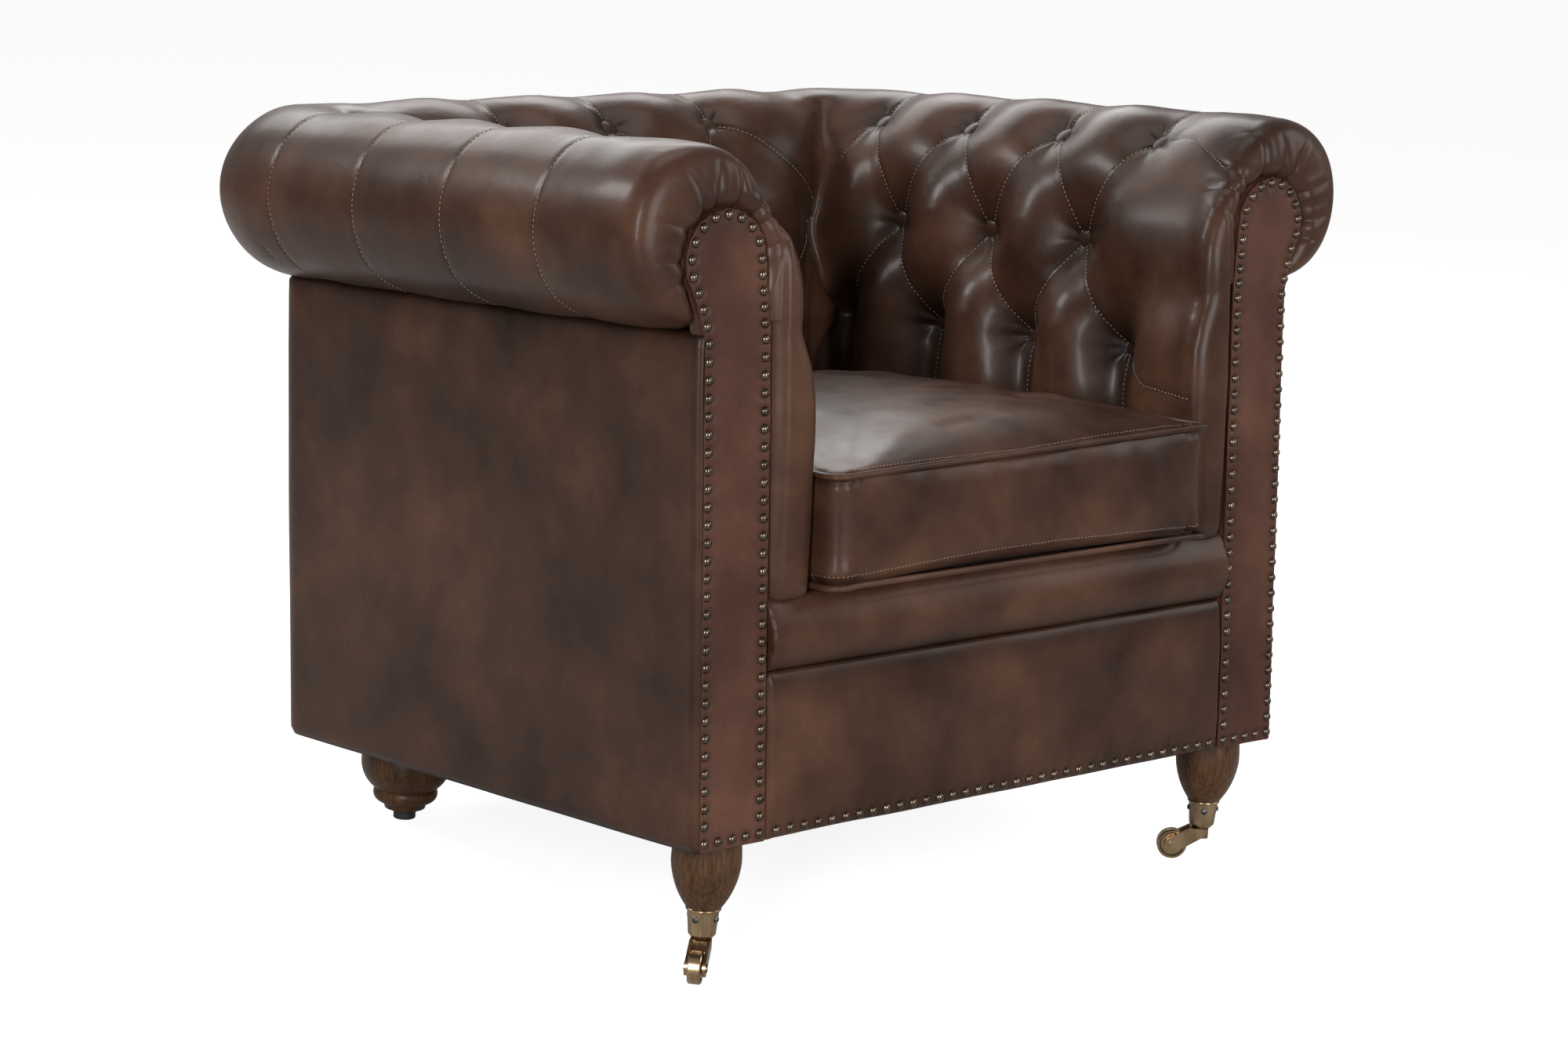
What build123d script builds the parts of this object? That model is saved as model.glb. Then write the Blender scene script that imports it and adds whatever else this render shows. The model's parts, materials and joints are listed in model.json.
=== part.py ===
from build123d import *
import math
import os

# The upholstered body is drawn level: x to the right, y from the front facings to the rear,
# z up from its underside. body_place then rakes it back onto the legs, which stand upright.
base_width = 756
base_depth = 643
under_roll_height = 459
front_leg_height = 128
rear_foot_height = 88
leg_inset_side = 44.7
leg_inset_front = 41.4
foot_inset = 87

# leather, boards and timber
leather = 3
board = 18
timber = 25
rail_height = 100
cloth = 2
post_width = 57
front_post_depth = 45
rear_post_depth = 80
top_rail_height = 24
top_rail_width = 51
stay_height = 60
upright_width = 40
back_upright_spacing = 220
block_height = 45
block_reach = 68
front_block_reach = 58
corner_radius = 22

# rolled top, padding and tufts
roll_radius = 86
pleat_radius = 74
front_roll_radius = 83
nose_radius = 60
nose_length = 35
corner_roll_radius = 82
last_swell_radius = 81
corner_bend = 60
backing_depth = 60
button_depth = 73
tuft_rise = 57
tuft_spread_share = 1.5
cap_root = 9
tuft_pitch = 136
end_swell_width = 114
front_run = 112
channel_run = 44
corner_swell = 71
first_pleat = 135
row_rise = 104
middle_row_height = 494
top_row_setback = 35
mitre_depth = 47
pocket_radius = 11.5
button_radius = 11
button_thickness = 7
button_crown = 3
top_pocket_angle = 50
top_pocket_floor = 62

# front facings, border and nails
facing_width = 78
head_radius = 46.5
head_inset = 24.5
head_height = 523
head_turn = 18
neck_height = 452
nail_radius = 4.5
nail_rise = 3.2
outer_nail_inset = 5
inner_nail_inset = 8
bottom_nail_inset = 8
facing_nail_pitch = 15.8
border_nail_pitch = 16.9
border_seam_height = 152
border_height = 215
border_bulge = 9
border_round = 8
tuck_in = 1.1
tuck_drop = 3
seam_gap = 0.3

# seat
deck_height = 222
deck_pad_thickness = 15
web_width = 50
web_thickness = 2
web_rows = 4
web_files = 5
cushion_front = 27
cushion_thickness = 108
cushion_crown = 25
crown_flat = 30
cushion_corner = 26
cushion_gap = 0.5
piping_radius = 3
piping_reach = 2
cushion_hollow = 2.5
cushion_band = 27
cushion_draw_in = 13

# turned legs and feet
leg_neck_radius = 16.4
leg_belly_radius = 32
leg_belly_height = 106
leg_shoulder_radius = 26
leg_shoulder_height = 81
leg_top_radius = 30.5
leg_swell_radius = 31.75
leg_swell_height = 117
foot_belly_radius = 45
foot_belly_height = 54
foot_base_radius = 30.8
foot_base_height = 32
foot_top_radius = 34
foot_ring_radius = 32.2
foot_ring_height = 24.6
foot_waist_radius = 22.4
foot_waist_height = 18
foot_step = 3
foot_toe_radius = 20.4
foot_toe_height = 11.2
glide_radius = 11.2
glide_height = 7.4
glide_round = 0.75
bolt_radius = 4
bolt_grip = 30
bolt_clearance = 0.05
overrun = 12

# caster
cup_bottom = 34.3
cup_top = 64
cup_rim_radius = 16.4
cup_rim_height = 3.2
cup_mouth_radius = 14.7
cup_foot_radius = 12.7
cup_foot_height = 4
cup_floor_radius = 9.2
cup_floor = 3.2
cup_bore_radius = 11.2
stem_radius = 4
stem_clearance = 0.06
stem_length = 16
stem_collar_radius = 6.5
stem_collar_gap = 0.3
stem_collar_height = 2.5
stem_room_radius = 8
stem_room_height = 24
screw_height = 54
screw_head_radius = 3.3
screw_head_rise = 1.6
screw_shank_radius = 1.5
screw_length = 9
screw_clearance = 0.05
screw_slot_width = 0.9
screw_slot_depth = 0.8
screws_per_cup = 4
wheel_radius = 15
wheel_width = 12
wheel_rim = 2.5
wheel_dish = 1.2
wheel_round = 1
wheel_hub_radius = 5
wheel_side_gap = 0.5
axle_radius = 2.5
axle_clearance = 0.06
axle_head_radius = 4
axle_head_height = 1
axle_slot_width = 0.9
axle_slot_depth = 0.5
caster_trail = 28.5
ear_thickness = 3.2
ear_radius = 8
horn_height = 10
horn_nose_radius = 7
horn_reach = 11
swivel_gap = 0.4
left_caster_heading = 221.4
right_caster_heading = 138.4
left_screw_heading = 201
right_screw_heading = 228

# sizes that follow from the ones above
half_width = base_width / 2
rear_y = base_depth
half_pitch = tuft_pitch / 2
roll_height = under_roll_height + roll_radius
swell_depth = button_depth + tuft_rise
bottom_row_height = middle_row_height - row_rise
foot_y = base_depth - foot_inset
rake = math.degrees(math.asin((front_leg_height - rear_foot_height) / (foot_y - leg_inset_front)))
lift = front_leg_height + leg_inset_front * math.sin(math.radians(rake))
facing_inner_x = half_width - facing_width
pad_bottom = border_height + seam_gap
deck_half = half_width - swell_depth
deck_rear = base_depth - swell_depth
face_back = leather + board
post_inner_x = half_width - leather - post_width
reach = base_width + base_depth
body_rake = Pos(0, 0, lift) * Rot(-rake, 0, 0)


def block(x0, x1, y0, y1, z0, z1):
    """Box between two corners."""
    return Pos((x0 + x1) / 2, (y0 + y1) / 2, (z0 + z1) / 2) * Box(x1 - x0, y1 - y0, z1 - z0)


def mirrored(shape):
    return mirror(shape, Plane.YZ)


def prism(points, z0, z1):
    face = make_face(Polyline(*points, close=True))
    return Pos(0, 0, z0) * extrude(face, z1 - z0)


def turned(edges):
    """Solid of revolution about z from edges in radius and height."""
    face = Plane.XZ * make_face(edges)
    return revolve(face, Axis.Z, 360)


def group(solids):
    return Compound(children=solids)


def dome(radius, base, rise):
    """Arc of a spherical cap from its rim to its top on the axis."""
    ball = (radius ** 2 + rise ** 2) / (2 * rise)
    half_angle = math.asin(radius / ball) / 2
    middle = (ball * math.sin(half_angle), base + rise - ball * (1 - math.cos(half_angle)))
    return ThreePointArc((radius, base), middle, (0, base + rise))


parts = {}


# timber frame
def core():
    """Inside of the leather: what the frame may fill."""
    sketch = RectangleRounded(base_width - 2 * leather, base_depth, corner_radius - leather)
    return Pos(0, base_depth / 2 - leather, 0) * extrude(sketch, under_roll_height)


def frame_left():
    rail_top = cloth + rail_height
    rail_end = rear_y - leather - rear_post_depth
    post_top = under_roll_height - top_rail_height
    outer = half_width - leather
    front_post = block(-outer, -post_inner_x, face_back, face_back + front_post_depth, cloth, post_top)
    rear_post = block(-outer, -post_inner_x, rail_end, rear_y - leather, cloth, post_top) & core()
    side_rail = block(-outer, timber - outer, face_back + front_post_depth, rail_end, cloth, rail_top)
    arm_rail = block(-outer, top_rail_width - outer, face_back, rear_y - leather, post_top,
                     under_roll_height) & core()
    stay = block(-post_inner_x, timber - post_inner_x, face_back, rear_y - backing_depth,
                 border_height - stay_height, border_height)
    return front_post, rear_post, side_rail, arm_rail, stay


def corner_block_front():
    outer = half_width - leather - timber
    back = face_back + front_post_depth
    inside = face_back + timber
    outline = [(-post_inner_x, inside), (-post_inner_x, back), (-outer, back),
               (-outer, back + front_block_reach), (-post_inner_x + front_block_reach, inside)]
    return prism(outline, cloth, cloth + block_height)


def corner_block_rear():
    outer = half_width - leather - timber
    post_front = rear_y - leather - rear_post_depth
    rail_front = rear_y - leather - timber
    start = post_front - block_reach
    outline = [(-outer, start), (-outer, post_front), (-post_inner_x, post_front),
               (-post_inner_x, rail_front), (-post_inner_x + block_reach, rail_front),
               (-post_inner_x + block_reach, start)]
    return prism(outline, cloth, cloth + block_height)


front_post, rear_post, side_rail, arm_rail, side_stay = frame_left()
rail_top = cloth + rail_height
post_top = under_roll_height - top_rail_height
stay_inner_x = post_inner_x - timber
web_bottom = deck_height - deck_pad_thickness - 2 * web_thickness
front_rail = block(-post_inner_x, post_inner_x, face_back, face_back + timber, cloth, rail_top)
rear_rail = block(-post_inner_x, post_inner_x, rear_y - leather - timber, rear_y - leather, cloth, rail_top)
top_rail_inner = half_width - leather - top_rail_width
back_rail = block(-top_rail_inner, top_rail_inner, rear_y - leather - top_rail_width, rear_y - leather,
                  post_top, under_roll_height)
border_rail = block(-stay_inner_x, stay_inner_x, face_back, face_back + timber,
                    border_height - stay_height, web_bottom)
back_stay = block(-stay_inner_x, stay_inner_x, rear_y - backing_depth - timber, rear_y - backing_depth,
                  border_height - stay_height, border_height)


def uprights():
    """Two studs in the back and one in each side, between the bottom rail and the top rail."""
    y1 = rear_y - leather
    x1 = half_width - leather
    made = []
    for x in (-back_upright_spacing / 2, back_upright_spacing / 2):
        made.append(block(x - upright_width / 2, x + upright_width / 2, y1 - upright_width, y1,
                          rail_top, post_top))
    for sign in (-1, 1):
        x = sign * (x1 - upright_width / 2)
        y = base_depth / 2
        made.append(block(x - upright_width / 2, x + upright_width / 2, y - upright_width / 2,
                          y + upright_width / 2, rail_top, post_top))
    return made


# padded walls: each is drawn with x along the wall, the outside at y = 0 and the seat towards -y
def barrel(x0, x1, r0, rm, r1):
    """One swelling of the roll between two pleats."""
    xm = (x0 + x1) / 2
    edges = [Line((x0, 0), (x0, r0)), ThreePointArc((x0, r0), (xm, rm), (x1, r1)),
             Line((x1, r1), (x1, 0)), Line((x1, 0), (x0, 0))]
    return Pos(0, 0, roll_height) * revolve(Plane.XZ * make_face(edges), Axis.X, 360)


def nose():
    """Front end of an arm roll, rounded down to the facing, up to the first pleat."""
    xm = (nose_length + first_pleat) / 2
    middle_share = 0.3
    rise_share = 0.72
    bend = (nose_length * middle_share, nose_radius + (front_roll_radius - nose_radius) * rise_share)
    mean_radius = (front_roll_radius + pleat_radius) / 2
    swell = mean_radius + (front_roll_radius - pleat_radius) / 2
    edges = [Line((0, 0), (0, nose_radius)),
             ThreePointArc((0, nose_radius), bend, (nose_length, front_roll_radius)),
             ThreePointArc((nose_length, front_roll_radius), (xm, swell), (first_pleat, pleat_radius)),
             Line((first_pleat, pleat_radius), (first_pleat, 0)), Line((first_pleat, 0), (0, 0))]
    return Pos(0, 0, roll_height) * revolve(Plane.XZ * make_face(edges), Axis.X, 360)


def roll_corner():
    """Quarter turn of the roll, from +x to +y round the upright axis of the bend."""
    section = Pos(corner_bend, roll_height) * Circle(corner_roll_radius)
    span = corner_bend + corner_roll_radius
    keep = Pos(span / 2, roll_height) * Rectangle(span, 2 * corner_roll_radius)
    face = Plane.XZ * (section & keep)
    return revolve(face, Axis.Z, 90)


sphere_set = math.sqrt(tuft_spread_share ** 2 - 1)
depth_scale = tuft_rise / (tuft_spread_share - sphere_set)


def stretched(shape):
    """Unit tuft to real size: half a pitch along, one row high, as deep as the tuft rises."""
    return scale(shape, by=(half_pitch, depth_scale, row_rise))


def diamond(x, run=0):
    """One diamond tuft of the middle row, run sets how far it stretches towards -x."""
    ball = Pos(0, sphere_set, 0) * Sphere(tuft_spread_share)
    if run:
        cells = run / half_pitch
        ball = ball + Pos(-cells, sphere_set, 0) * Sphere(tuft_spread_share)
        ball = ball + Pos(-cells / 2, sphere_set, 0) * Rot(0, 90, 0) * Cylinder(tuft_spread_share, cells)
    span = 2 * tuft_spread_share + run / half_pitch
    root = cap_root / depth_scale
    keep = Pos(0, root - span, 0) * Box(4 * span, 2 * span, 4 * span)
    lean = math.degrees(math.atan(top_row_setback / (2 * row_rise)))
    hinge = Pos(x, -button_depth, bottom_row_height) * Rot(-lean, 0, 0) * Pos(0, 0, row_rise)
    return hinge * stretched(ball & keep)


def channels(centres, x0, x1, run=0):
    """Upright swellings below the bottom row of buttons, run sets how far the first stretches towards -x."""
    low = (pad_bottom - middle_row_height) / row_rise
    tube_middle = (low - 1) / 2 - 1
    made = []
    for x in centres + ([centres[0] - run] if run else []):
        ball = Pos(x / half_pitch, sphere_set, -1) * Sphere(tuft_spread_share)
        tube = Pos(x / half_pitch, sphere_set, tube_middle) * Cylinder(tuft_spread_share, 1 - low)
        made.append(ball + tube)
    if run:
        cells = run / half_pitch
        middle = centres[0] / half_pitch - cells / 2
        made.append(Pos(middle, sphere_set, -1) * Rot(0, 90, 0) * Cylinder(tuft_spread_share, cells))
        made.append(Pos(middle, sphere_set, tube_middle) * Box(cells, 2 * tuft_spread_share, 1 - low))
    joined = made[0].fuse(*made[1:])
    back = (backing_depth - button_depth) / depth_scale
    height = 2 * tuft_spread_share
    keep = Pos((x0 + x1) / 2 / half_pitch, -back - tuft_spread_share, low + height / 2)
    keep = keep * Box((x1 - x0) / half_pitch, 2 * tuft_spread_share, height)
    return Pos(0, -button_depth, middle_row_height) * stretched(joined & keep)


def button_seats(rows):
    """Where the buttons sit: each row is a list of places along the wall, a height and a kind."""
    seats = []
    for places, height, top in rows:
        for x in places:
            if top:
                turn = Rot(90 - top_pocket_angle, 0, 0)
                seats.append(Pos(x, 0, roll_height) * turn * Pos(0, 0, top_pocket_floor))
            else:
                seats.append(Pos(x, -button_depth, height) * Rot(90, 0, 0))
    return seats


def pockets(rows):
    well = Pos(0, 0, button_depth) * Cylinder(pocket_radius, 2 * button_depth)
    return [seat * well for seat in button_seats(rows)]


def button():
    """Leather-covered button, its flat back at z = 0."""
    edge = button_thickness - button_crown
    return turned([Line((0, 0), (button_radius, 0)), Line((button_radius, 0), (button_radius, edge)),
                   dome(button_radius, edge, button_crown), Line((0, button_thickness), (0, 0))])


def wall_buttons(rows):
    return [seat * button() for seat in button_seats(rows)]


arm_pleats = [first_pleat + i * tuft_pitch for i in range(4)]
arm_swells = [x - half_pitch for x in arm_pleats]
arm_rows = [(arm_pleats, 0, True), (arm_swells[1:], middle_row_height, False),
            (arm_pleats, bottom_row_height, False)]
back_pleats = [-tuft_pitch, 0, tuft_pitch]
back_swells = [-half_pitch, half_pitch]
end_swell = tuft_pitch + end_swell_width / 2
back_rows = [(back_pleats, 0, True), (back_swells, middle_row_height, False),
             (back_pleats, bottom_row_height, False)]
left_wall = Pos(-half_width, 0, 0) * Rot(0, 0, 90)
back_wall = Pos(0, base_depth, 0)
rear_bend_y = base_depth - corner_bend
side_bend_x = half_width - corner_bend


def facing_edges(inset_outer, inset_inner, inset_bottom, radius):
    """Keyhole outline of the left facing in x and z, walked from the lower outer corner."""
    x_outer = inset_outer - half_width
    x_inner = -facing_inner_x - inset_inner
    cx = head_inset - half_width
    turn = math.radians(head_turn)
    neck_end = (cx - radius * math.cos(turn), head_height - radius * math.sin(turn))
    neck_start = (x_outer, neck_height)
    hollow_share = 0.36
    neck_mid = (x_outer + (neck_end[0] - x_outer) * hollow_share, (neck_height + neck_end[1]) / 2)
    crown = (cx, head_height + radius)
    inner_end = (cx + radius, head_height)
    inner_low = (x_inner, neck_height)
    corner_outer = (x_outer, inset_bottom)
    corner_inner = (x_inner, inset_bottom)
    return [Line(corner_outer, neck_start), ThreePointArc(neck_start, neck_mid, neck_end),
            ThreePointArc(neck_end, crown, inner_end), Line(inner_end, inner_low),
            Line(inner_low, corner_inner), Line(corner_inner, corner_outer)]


def facing_prism(y0, y1, inset=0):
    face = make_face(facing_edges(inset, inset, inset, head_radius - inset))
    return Pos(0, y1, 0) * extrude(Plane.XZ * face, y1 - y0)


def mitre(keep_side):
    """Half space on the arm's or the back's side of the upright plane through the left rear corner."""
    corner_x = -(half_width - button_depth - mitre_depth / 2)
    corner_y = base_depth - mitre_depth
    turn = -45 if keep_side == "arm" else 135
    return Pos(corner_x, corner_y, reach / 2) * Rot(0, 0, turn) * Pos(0, -reach, 0) * Box(
        4 * reach, 2 * reach, 4 * reach)


def frame_room():
    """Where a wall's posts and top rail are: the pad's back stays clear of it."""
    rail_front = -leather - top_rail_width - seam_gap
    posts = block(-reach, reach, -backing_depth, reach, -reach, post_top)
    rails = block(-reach, reach, rail_front, reach, post_top, under_roll_height)
    return [posts, rails]


def arm_pad():
    segments = [nose()]
    for x in arm_pleats[:-1]:
        segments.append(barrel(x, x + tuft_pitch, pleat_radius, roll_radius, pleat_radius))
    last = arm_pleats[-1]
    segments.append(barrel(last, rear_bend_y, pleat_radius, last_swell_radius, corner_roll_radius))
    segments.append(Pos(rear_bend_y, -corner_bend, 0) * roll_corner())
    run_on = Pos((rear_bend_y + rear_y) / 2, 0, roll_height) * Rot(0, 90, 0) * Cylinder(
        corner_roll_radius, corner_bend)
    segments.append(run_on & block(0, reach, -reach, -corner_bend, 0, reach))
    roll = segments[0].fuse(*segments[1:])
    low = channels(arm_swells + [last + corner_swell], 0, base_depth - leather, channel_run)
    tufts = [diamond(arm_pleats[0], front_run)] + [diamond(x) for x in arm_pleats[1:]]
    pad = low.fuse(roll, *tufts)
    placed = left_wall * pad.cut(*pockets(arm_rows), *frame_room())
    front = block(-reach, reach, -reach, seam_gap, -reach, reach)
    back_room = [back_wall * piece for piece in frame_room()]
    return (placed & mitre("arm")).cut(front, facing_prism(0, face_back), *back_room)


def back_pad():
    ends = [-2 * tuft_pitch] + back_pleats
    segments = [barrel(x, x + tuft_pitch, pleat_radius, roll_radius, pleat_radius) for x in ends]
    turn = [barrel(2 * tuft_pitch, side_bend_x, pleat_radius, last_swell_radius, corner_roll_radius),
            Pos(side_bend_x, -corner_bend, 0) * roll_corner()]
    segments += turn + [mirrored(piece) for piece in turn]
    roll = segments[0].fuse(*segments[1:])
    low = channels([-end_swell] + back_swells + [end_swell], -side_bend_x, side_bend_x)
    end_tuft = diamond(-tuft_pitch, end_swell_width - half_pitch)
    tufts = [diamond(0), end_tuft, mirrored(end_tuft)]
    pad = low.fuse(roll, *tufts)
    pad = back_wall * pad.cut(*pockets(back_rows), *frame_room())
    return pad & mitre("back") & mirrored(mitre("back"))


# leather skins
def outer_skin():
    outer = RectangleRounded(base_width, 2 * base_depth, corner_radius)
    inner = RectangleRounded(base_width - 2 * leather, 2 * (base_depth - leather), corner_radius - leather)
    return extrude(outer - inner, under_roll_height - seam_gap)


def skins():
    shell = outer_skin()
    turn_y = base_depth - corner_radius
    side = shell & block(-half_width, 0, leather, turn_y, 0, under_roll_height)
    back = shell & block(-half_width, half_width, turn_y, base_depth, 0, under_roll_height)
    return side, back


def front_border():
    """Padded upper roll of the front border, its back on the border rail."""
    low = border_seam_height + seam_gap
    edges = [Line((face_back, low), (leather, low)),
             ThreePointArc((leather, low), (-border_bulge, (low + border_height) / 2),
                           (border_round, border_height)),
             Line((border_round, border_height), (face_back, border_height)),
             Line((face_back, border_height), (face_back, low))]
    face = Plane.YZ * make_face(edges)
    length = 2 * (facing_inner_x - seam_gap)
    return Pos(-length / 2, 0, 0) * extrude(face, length)


def front_panel():
    """Lower panel of the border, its upper edge drawn in at the seam."""
    edges = [Line((face_back, 0), (seam_gap, 0)),
             Line((seam_gap, 0), (seam_gap, border_seam_height - border_bulge)),
             ThreePointArc((seam_gap, border_seam_height - border_bulge),
                           (seam_gap + tuck_in, border_seam_height - tuck_drop),
                           (leather, border_seam_height)),
             Line((leather, border_seam_height), (face_back, border_seam_height)),
             Line((face_back, border_seam_height), (face_back, 0))]
    face = Plane.YZ * make_face(edges)
    length = 2 * (facing_inner_x - seam_gap)
    return Pos(-length / 2, 0, 0) * extrude(face, length)


# dome-headed nails
def nail():
    """Dome head, its flat side at y = 0 and the dome towards -y."""
    edges = [Line((0, 0), (nail_radius, 0)), dome(nail_radius, 0, nail_rise), Line((0, nail_rise), (0, 0))]
    return Rot(90, 0, 0) * turned(edges)


def spaced(edge, pitch, skip_last=True):
    """Places along an edge at about the pitch, evenly spread from end to end."""
    count = max(1, round(edge.length / pitch))
    last = count if skip_last else count + 1
    return [edge.position_at(i / count) for i in range(last)]


def facing_nails():
    head = head_radius - (outer_nail_inset + inner_nail_inset) / 2
    edges = facing_edges(outer_nail_inset, inner_nail_inset, bottom_nail_inset, head)
    return [Pos(p.X, 0, p.Y) * nail() for edge in edges for p in spaced(edge, facing_nail_pitch)]


def border_nails():
    first = facing_inner_x - inner_nail_inset - nail_radius
    row = Line((-first, bottom_nail_inset), (first, bottom_nail_inset))
    return [Pos(p.X, seam_gap, p.Y) * nail() for p in spaced(row, border_nail_pitch, False)]


# seat
def webbing():
    span = 2 * stay_inner_x
    files = []
    for i in range(web_files):
        x = (2 * i + 1) * span / (2 * web_files) - stay_inner_x
        files.append(block(x - web_width / 2, x + web_width / 2, face_back,
                           rear_y - backing_depth - timber, web_bottom, web_bottom + web_thickness))
    rows = []
    first = face_back + timber
    depth = rear_y - backing_depth - timber - first
    for i in range(web_rows):
        y = first + (2 * i + 1) * depth / (2 * web_rows)
        rows.append(block(-stay_inner_x, stay_inner_x, y - web_width / 2, y + web_width / 2,
                          web_bottom + web_thickness, web_bottom + 2 * web_thickness))
    return files, rows


def cushion_outline(inset, round_share=0):
    """Plan of the cushion, round_share takes its corners from their own radius towards a full round."""
    width = 2 * (deck_half - cushion_gap - piping_reach - inset)
    depth = deck_rear - cushion_gap - piping_reach + cushion_front - 2 * inset
    corner = cushion_corner + (min(width, depth) / 2 - cushion_corner) * round_share
    return RectangleRounded(width, depth, corner)


cushion_low = deck_height + seam_gap
cushion_mid_y = (deck_rear - cushion_gap - piping_reach - cushion_front) / 2
cushion_top = cushion_low + cushion_thickness


def seat_cushion():
    """Boxed cushion: drawn in below the lower piping, full in the band, crowned on top."""
    low_edge = cushion_low + piping_radius
    steps = [(cushion_low, cushion_draw_in), (low_edge, 0), (cushion_low + cushion_band, cushion_hollow),
             (cushion_top - cushion_band, cushion_hollow), (cushion_top, 0)]
    band = loft([Pos(0, cushion_mid_y, z) * cushion_outline(inset) for z, inset in steps], ruled=True)
    crown_shares = [(0, 0), (0.4, 0.12), (0.75, 0.35), (0.94, 0.62), (1, 0.8)]
    half_depth = (deck_rear + cushion_front) / 2
    draw_in = min(deck_half, half_depth) - crown_flat
    crown = loft([Pos(0, cushion_mid_y, cushion_top + rise * cushion_crown)
                  * cushion_outline(inset * draw_in, inset) for rise, inset in crown_shares])
    return band.fuse(crown)


def piping(z):
    outline = Pos(0, cushion_mid_y, z) * cushion_outline(piping_radius - piping_reach)
    path = outline.face().outer_wire()
    start = path.position_at(0)
    ring = Plane(origin=start, z_dir=path.tangent_at(0)) * Circle(piping_radius)
    return sweep(ring, path)


# turned front leg and rear foot, upright, with the floor at z = 0
def underside_cut():
    """Everything above the raked underside of the body."""
    return body_rake * block(-reach, reach, -reach, reach, 0, reach)


def bolt_hole(z0, z1):
    return Pos(0, 0, z0) * Cylinder(bolt_radius + bolt_clearance, z1 - z0,
                                    align=(Align.CENTER, Align.CENTER, Align.MIN))


def screw_seats():
    """Directions of the cup screws round the leg, before the caster's heading is set."""
    return [i * 360 / screws_per_cup for i in range(screws_per_cup)]


def front_leg(heading):
    top = front_leg_height + overrun
    edges = [Line((0, cup_bottom + cup_floor), (cup_bore_radius, cup_bottom + cup_floor)),
             Line((cup_bore_radius, cup_bottom + cup_floor), (cup_bore_radius, cup_top)),
             Line((cup_bore_radius, cup_top), (leg_neck_radius, cup_top)),
             ThreePointArc((leg_neck_radius, cup_top), (leg_shoulder_radius, leg_shoulder_height),
                           (leg_belly_radius, leg_belly_height)),
             ThreePointArc((leg_belly_radius, leg_belly_height), (leg_swell_radius, leg_swell_height),
                           (leg_top_radius, front_leg_height)),
             Line((leg_top_radius, front_leg_height), (leg_top_radius, top)),
             Line((leg_top_radius, top), (0, top)), Line((0, top), (0, cup_bottom + cup_floor))]
    leg = turned(edges)
    room = Pos(0, 0, cup_bottom + cup_floor) * Cylinder(stem_room_radius, stem_room_height,
                                                        align=(Align.CENTER, Align.CENTER, Align.MIN))
    leg = leg - room - bolt_hole(front_leg_height - bolt_grip, top)
    for turn in screw_seats():
        leg = leg - Rot(0, 0, heading + turn) * screw_bore()
    return leg


def screw_bore():
    span = cup_rim_radius
    tip = cup_mouth_radius - screw_length
    bore = Cylinder(screw_shank_radius + screw_clearance, span)
    return Pos(tip + span / 2, 0, screw_height) * Rot(0, 90, 0) * bore


def cup_radius(z):
    """Outside radius of the cup's taper at a height."""
    foot = cup_bottom + cup_foot_height
    share = (z - foot) / (cup_top - cup_rim_height - foot)
    return cup_foot_radius + (cup_mouth_radius - cup_foot_radius) * share


def cup_screw():
    """Round-headed screw along +x, its head's flat side on the cup's taper."""
    seat = cup_radius(screw_height + screw_head_radius) + screw_clearance
    shank = Cylinder(screw_shank_radius, screw_length, align=(Align.CENTER, Align.CENTER, Align.MAX))
    head = turned([Line((0, 0), (screw_head_radius, 0)), dome(screw_head_radius, 0, screw_head_rise),
                   Line((0, screw_head_rise), (0, 0))])
    slot = Pos(0, 0, screw_head_rise) * Box(screw_head_radius, screw_slot_width, 2 * screw_slot_depth)
    cross = slot + Rot(0, 0, 90) * slot
    return Pos(seat, 0, screw_height) * Rot(0, 90, 0) * (shank + head - cross)


def cup_screws(heading):
    return [Rot(0, 0, heading + turn) * cup_screw() for turn in screw_seats()]


def caster_cup(heading):
    foot = cup_bottom + cup_foot_height
    rim = cup_top - cup_rim_height
    edges = [Line((0, cup_bottom), (cup_floor_radius, cup_bottom)),
             Line((cup_floor_radius, cup_bottom), (cup_foot_radius, foot)),
             Line((cup_foot_radius, foot), (cup_mouth_radius, rim)),
             ThreePointArc((cup_mouth_radius, rim), (cup_rim_radius, rim + cup_rim_height / 2),
                           (cup_mouth_radius, cup_top)),
             Line((cup_mouth_radius, cup_top), (0, cup_top)), Line((0, cup_top), (0, cup_bottom))]
    cup = turned(edges)
    bore = Pos(0, 0, cup_bottom + cup_floor) * Cylinder(cup_bore_radius, cup_top,
                                                        align=(Align.CENTER, Align.CENTER, Align.MIN))
    eye = Pos(0, 0, cup_bottom) * Cylinder(stem_radius + stem_clearance, 2 * cup_floor)
    cup = cup - bore - eye
    for turn in screw_seats():
        cup = cup - Rot(0, 0, heading + turn) * screw_bore()
    return cup


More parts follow.
